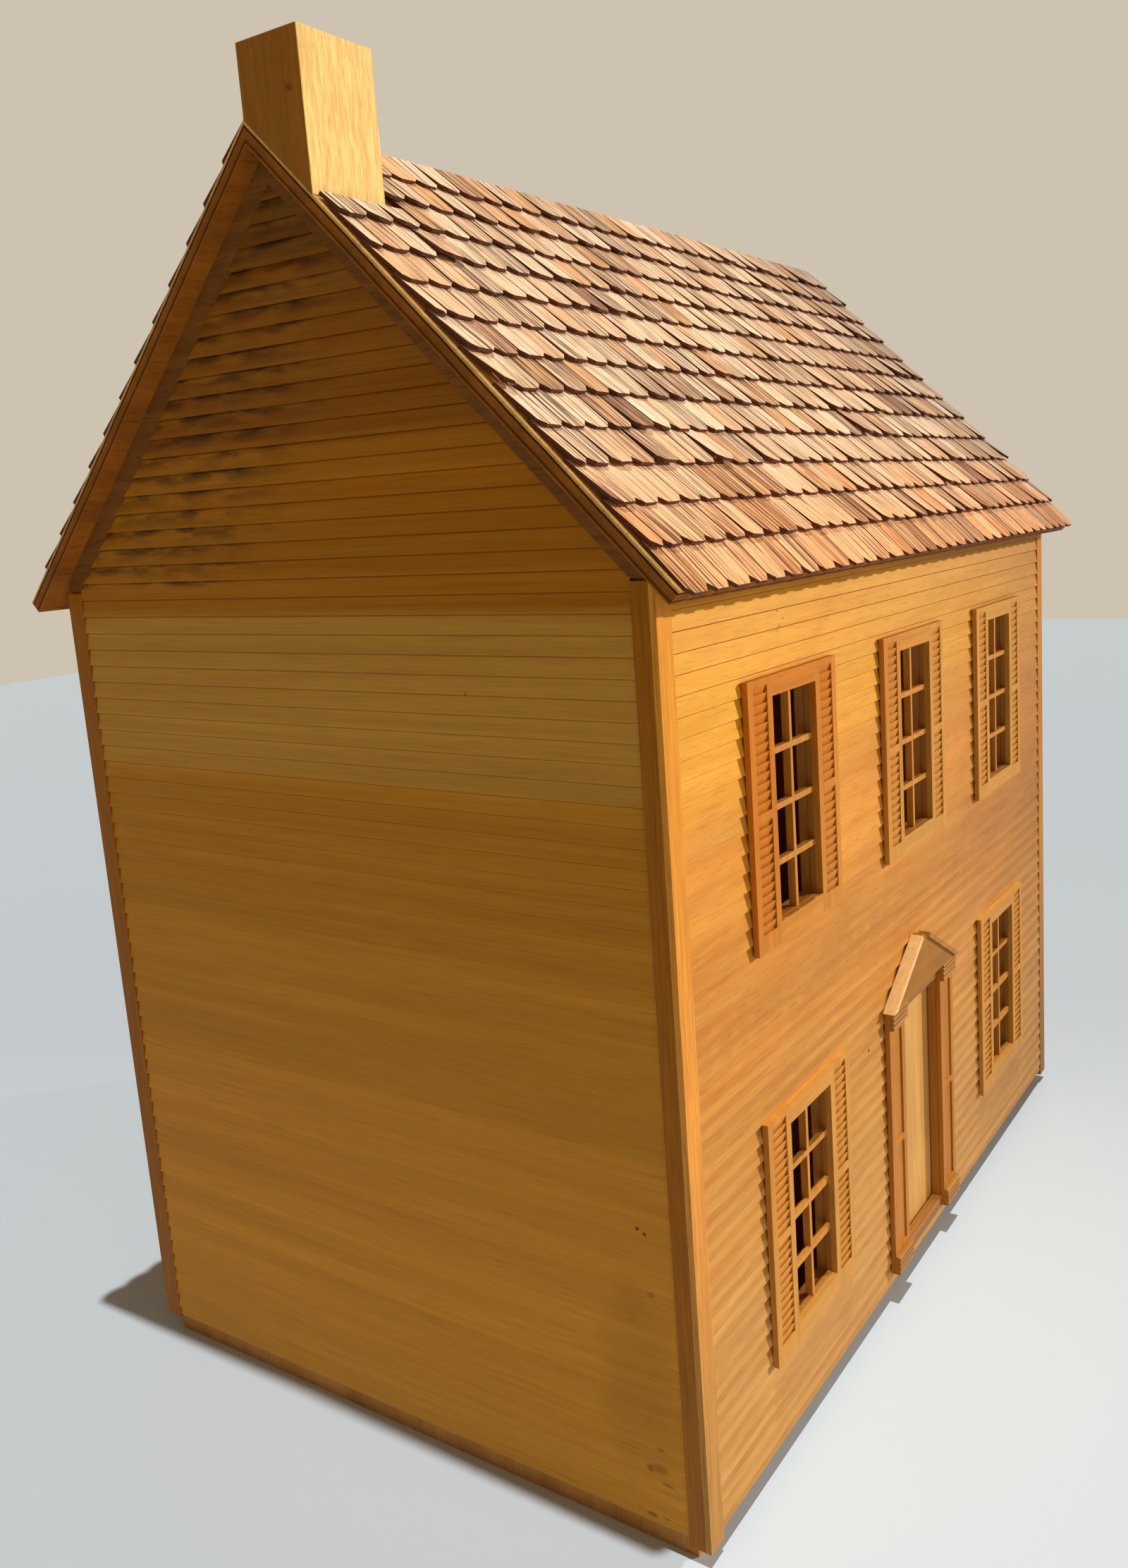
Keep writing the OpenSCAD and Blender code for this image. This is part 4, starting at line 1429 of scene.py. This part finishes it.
@dataclass
class Entrance:
    """The front door and its surround of pilasters, blocks, pediment and raking boards."""

    crown_back: float = 3.8
    crown_size: Triple = (6.0, 8.0, 4.0)

    def dress(self, dresser: Dresser) -> None:
        """Finishes the surround, the slab door and its pins.

        Args:
            dresser: Keeps the finishes.
        """
        # Basswood trim again, cut from a plainer, yellower strip.
        upright = Wood(
            "basswood_pilaster_sanded_oiled", "#c07927", "#cf8e36", "#985616", Axis.Z, figure=3.0,
            fibre=0.5, contrast=1.0, pores=0.14, mottle=0.1,
        )
        level = Wood(
            "basswood_door_trim_sanded_oiled", "#b47a35", "#c49046", "#89541b", Axis.X,
            figure=3.0, fibre=0.5, contrast=1.0, pores=0.16, mottle=0.12,
        )
        # The head board and the threshold sit deep in the surround, painted darker as the shade
        # there.
        deep = replace(
            level, name="basswood_head_and_threshold_painted_shade", body="#9f6a30", pale="#ad7d40",
            dark="#794818",
        )
        # The pediment's board is golden, from a wider strip with a soft level grain.
        golden = replace(
            level, name="basswood_pediment_oiled", body="#ac6f1c", pale="#ba7f26", dark="#895311"
        )
        # The right raking board's upper end shows dark end grain at the peak.
        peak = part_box("left_raking_board")[1] / MM
        crown = Mark((peak.x, peak.y - self.crown_back, peak.z), self.crown_size, 0.6)
        raking = replace(level, name="basswood_raking_board_oiled", marks=(crown,))
        # The left raking board and the door slab took little oil and stay almost white.
        bare = Wood(
            "basswood_raking_board_bare", "#f5c47c", "#fbd596", "#dba860", Axis.X, figure=2.4,
            fibre=0.5, contrast=0.8, pores=0.14, mottle=0.06, roughness=0.55,
        )
        slab = Wood(
            "basswood_door_slab_sanded", "#dea558", "#ecb971", "#bd823f", Axis.Z, figure=5.0,
            fibre=0.6, contrast=0.7, pores=0.1, mottle=0.08, roughness=0.5,
        )
        brass = Metal("brass_pin_drawn", "#c8a25a", "#94713a", 0.34)
        dresser.dress(upright, "pilasters")
        dresser.dress(level, "pilaster_caps", "pilaster_bases")
        dresser.dress(deep, "door_head", "threshold")
        dresser.dress(golden, "pediment")
        dresser.dress(raking, "right_raking_board")
        dresser.dress(bare, "left_raking_board")
        dresser.dress(slab, "front_door")
        dresser.dress(brass, "door_pins")


@dataclass
class RearDoors:
    """Two tall doors across the back with their hinges, knobs, strike plates and catch."""

    sides: Tuple[str, ...] = ("left", "right")

    def dress(self, dresser: Dresser) -> None:
        """Finishes the doors' ply, their hardware and the catch.

        Args:
            dresser: Keeps the finishes.
        """
        # Birch ply door, bare inside: a flat honey face with long upright streaks.
        ply = Wood("birch_ply_door_oiled", "#cc8c48", "#dfa863", "#ab6b2e", Axis.Z, figure=16.0)
        # Birch knob, turned and waxed: close grain and a little gloss.
        knob = Wood(
            "birch_knob_turned_waxed", "#d59a58", "#e6b377", "#a86c34", Axis.Y, figure=2.0,
            fibre=0.4, roughness=0.36,
        )
        # Rolled brass gone dull, zinc-plated steel and moulded acetal, each as it is sold.
        brass = Metal("brass_hinge_rolled_dull", "#b89350", "#806231", 0.4)
        steel = Metal("steel_strike_zinc_plated", "#b9bcc0", "#8b8d90", 0.36)
        plastic = Plastic("acetal_catch_moulded", "#4a3423", "#5b4230")
        for side in self.sides:
            dresser.dress(ply, f"{side}_rear_door")
            dresser.dress(knob, f"{side}_rear_knob")
            dresser.dress(brass, f"{side}_door_hinge_leaves")
            dresser.dress(steel, f"{side}_strike_plate")
        dresser.dress(brass, "wall_hinge_leaves", "hinge_pins")
        dresser.dress(plastic, "magnet_catch")


# ---- Studio ----


@dataclass(frozen=True)
class Sun:
    """A distant soft lamp: where it shines from, its strength and its apparent size."""

    name: str
    source: Triple
    strength: float
    degrees: float
    colour: str

    def hang(self) -> None:
        """Adds the lamp to the scene."""
        lamp = bpy.data.lights.new(self.name, "SUN")
        lamp.energy = self.strength
        lamp.angle = math.radians(self.degrees)
        lamp.color = linear(self.colour)[:3]
        turn = Vector(self.source).to_track_quat("Z", "Y").to_euler()
        stand(self.name, lamp).rotation_euler = turn


@dataclass(frozen=True)
class Spot:
    """A lamp with a soft-edged beam.

    source is its direction from the point aim, distance and radius are in metres, and strength is
    that of a distant lamp that lights the point as much.
    """

    name: str
    source: Triple
    aim: Triple
    distance: float
    strength: float
    degrees: float
    radius: float
    colour: str

    def hang(self) -> None:
        """Adds the lamp to the scene; its watts are those of the whole sphere round it."""
        lamp = bpy.data.lights.new(self.name, "SPOT")
        lamp.energy = self.strength * 4 * math.pi * self.distance**2
        lamp.spot_size = math.radians(self.degrees)
        lamp.spot_blend = 1.0
        lamp.shadow_soft_size = self.radius
        lamp.color = linear(self.colour)[:3]
        holder = stand(self.name, lamp)
        way = Vector(self.source).normalized()
        holder.location = Vector(self.aim) + way * self.distance
        holder.rotation_euler = way.to_track_quat("Z", "Y").to_euler()


@dataclass
class Studio:
    """A pale table, soft lamps and the camera; places and sizes are in metres."""

    lamps: Tuple[Any, ...] = (
        Sun("overhead", (-0.01, -0.1, 1.0), 2.15, 0.9, "#fdfdfd"),
        Sun("front_soft", (-0.2, -1.0, 0.1), 0.5, 50.0, "#fff6ea"),
        Spot(
            "key_front_right", source=(1.15, -1.0, 0.47), aim=(-0.28, -0.2, 0.46), distance=10.0,
            strength=3.2, degrees=9.6, radius=0.1, colour="#fff8ee",
        ),
    )
    fill: float = 0.13
    fill_colour: str = "#ffe0b8"
    backdrop: str = "#cdc3b0"
    table: str = "#d6e2ea"
    table_size: float = 8.0
    camera_place: Triple = (-0.7502, -0.4894, 0.5112)
    right: Triple = (0.53005, -0.84581, -0.06044)
    up: Triple = (0.18227, 0.04403, 0.98226)
    focal_share: float = 1807.22 / IMAGE_LONG_SIDE
    shift: Pair = (-0.05452, -0.03249)
    nearest: float = 0.01

    def room(self) -> None:
        """Adds the room's even fill, and the wall that is seen behind the house."""
        world = bpy.data.worlds.new("room")
        bpy.context.scene.world = world
        graph = Graph(world)
        path = graph.add("LightPath").node.outputs
        camera, glossy = path["Is Camera Ray"], path["Is Glossy Ray"]
        seen = graph.add("Math", camera, glossy, operation="MAXIMUM")
        fill = graph.add("Background", linear(self.fill_colour), self.fill)
        wall = graph.add("Background", linear(self.backdrop), 1.0)
        graph.add("OutputWorld", graph.add("MixShader", seen, fill, wall))

    def floor(self) -> None:
        """Adds the pale laminate table top."""
        size = self.table_size / 2
        corners = [(-size, -size, 0), (size, -size, 0), (size, size, 0), (-size, size, 0)]
        mesh = bpy.data.meshes.new("table_top")
        mesh.from_pydata(corners, [], [(0, 1, 2, 3)])
        mesh.materials.append(Laminate("laminate_table_top_matt", self.table).material())
        stand("table_top", mesh)

    def camera(self) -> None:
        """Adds the camera on its measured axes."""
        right, up = Vector(self.right), Vector(self.up)
        data = bpy.data.cameras.new("camera")
        data.sensor_fit = "AUTO"
        data.sensor_width = SENSOR_MM
        data.lens = SENSOR_MM * self.focal_share
        data.shift_x, data.shift_y = self.shift
        data.clip_start = self.nearest
        holder = stand("camera", data)
        turn = Matrix((right, up, right.cross(up))).transposed().to_4x4()
        holder.matrix_world = Matrix.Translation(Vector(self.camera_place)) @ turn
        bpy.context.scene.camera = holder

    def build(self) -> None:
        """Sets up the camera, lamps, room and table with the plain view transform."""
        self.camera()
        for lamp in self.lamps:
            lamp.hang()
        self.room()
        self.floor()
        bpy.context.scene.view_settings.view_transform = "Standard"


def main() -> None:
    """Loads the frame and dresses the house."""
    logging.basicConfig(level=logging.INFO, format="%(name)s: %(message)s")
    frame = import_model()
    dresser = Dresser(frame["nodes"])
    Studio().build()
    Shell().dress(dresser)
    cladding = Cladding()
    cladding.clapboards(dresser)
    cladding.trim(dresser)
    Roof().dress(dresser)
    for slope in Slope:
        shingles = Shingles(slope)
        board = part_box(f"{slope.name.lower()}_roof_board")
        shingles.dress(shingles.build(board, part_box("chimney")), dresser)
    chimney = Chimney()
    chimney.dress(chimney.build(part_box("chimney")), dresser)
    windows = Windows()
    windows.dress(dresser)
    Reveals().dress(windows.places, dresser)
    Entrance().dress(dresser)
    RearDoors().dress(dresser)


if __name__ == "__main__":
    main()
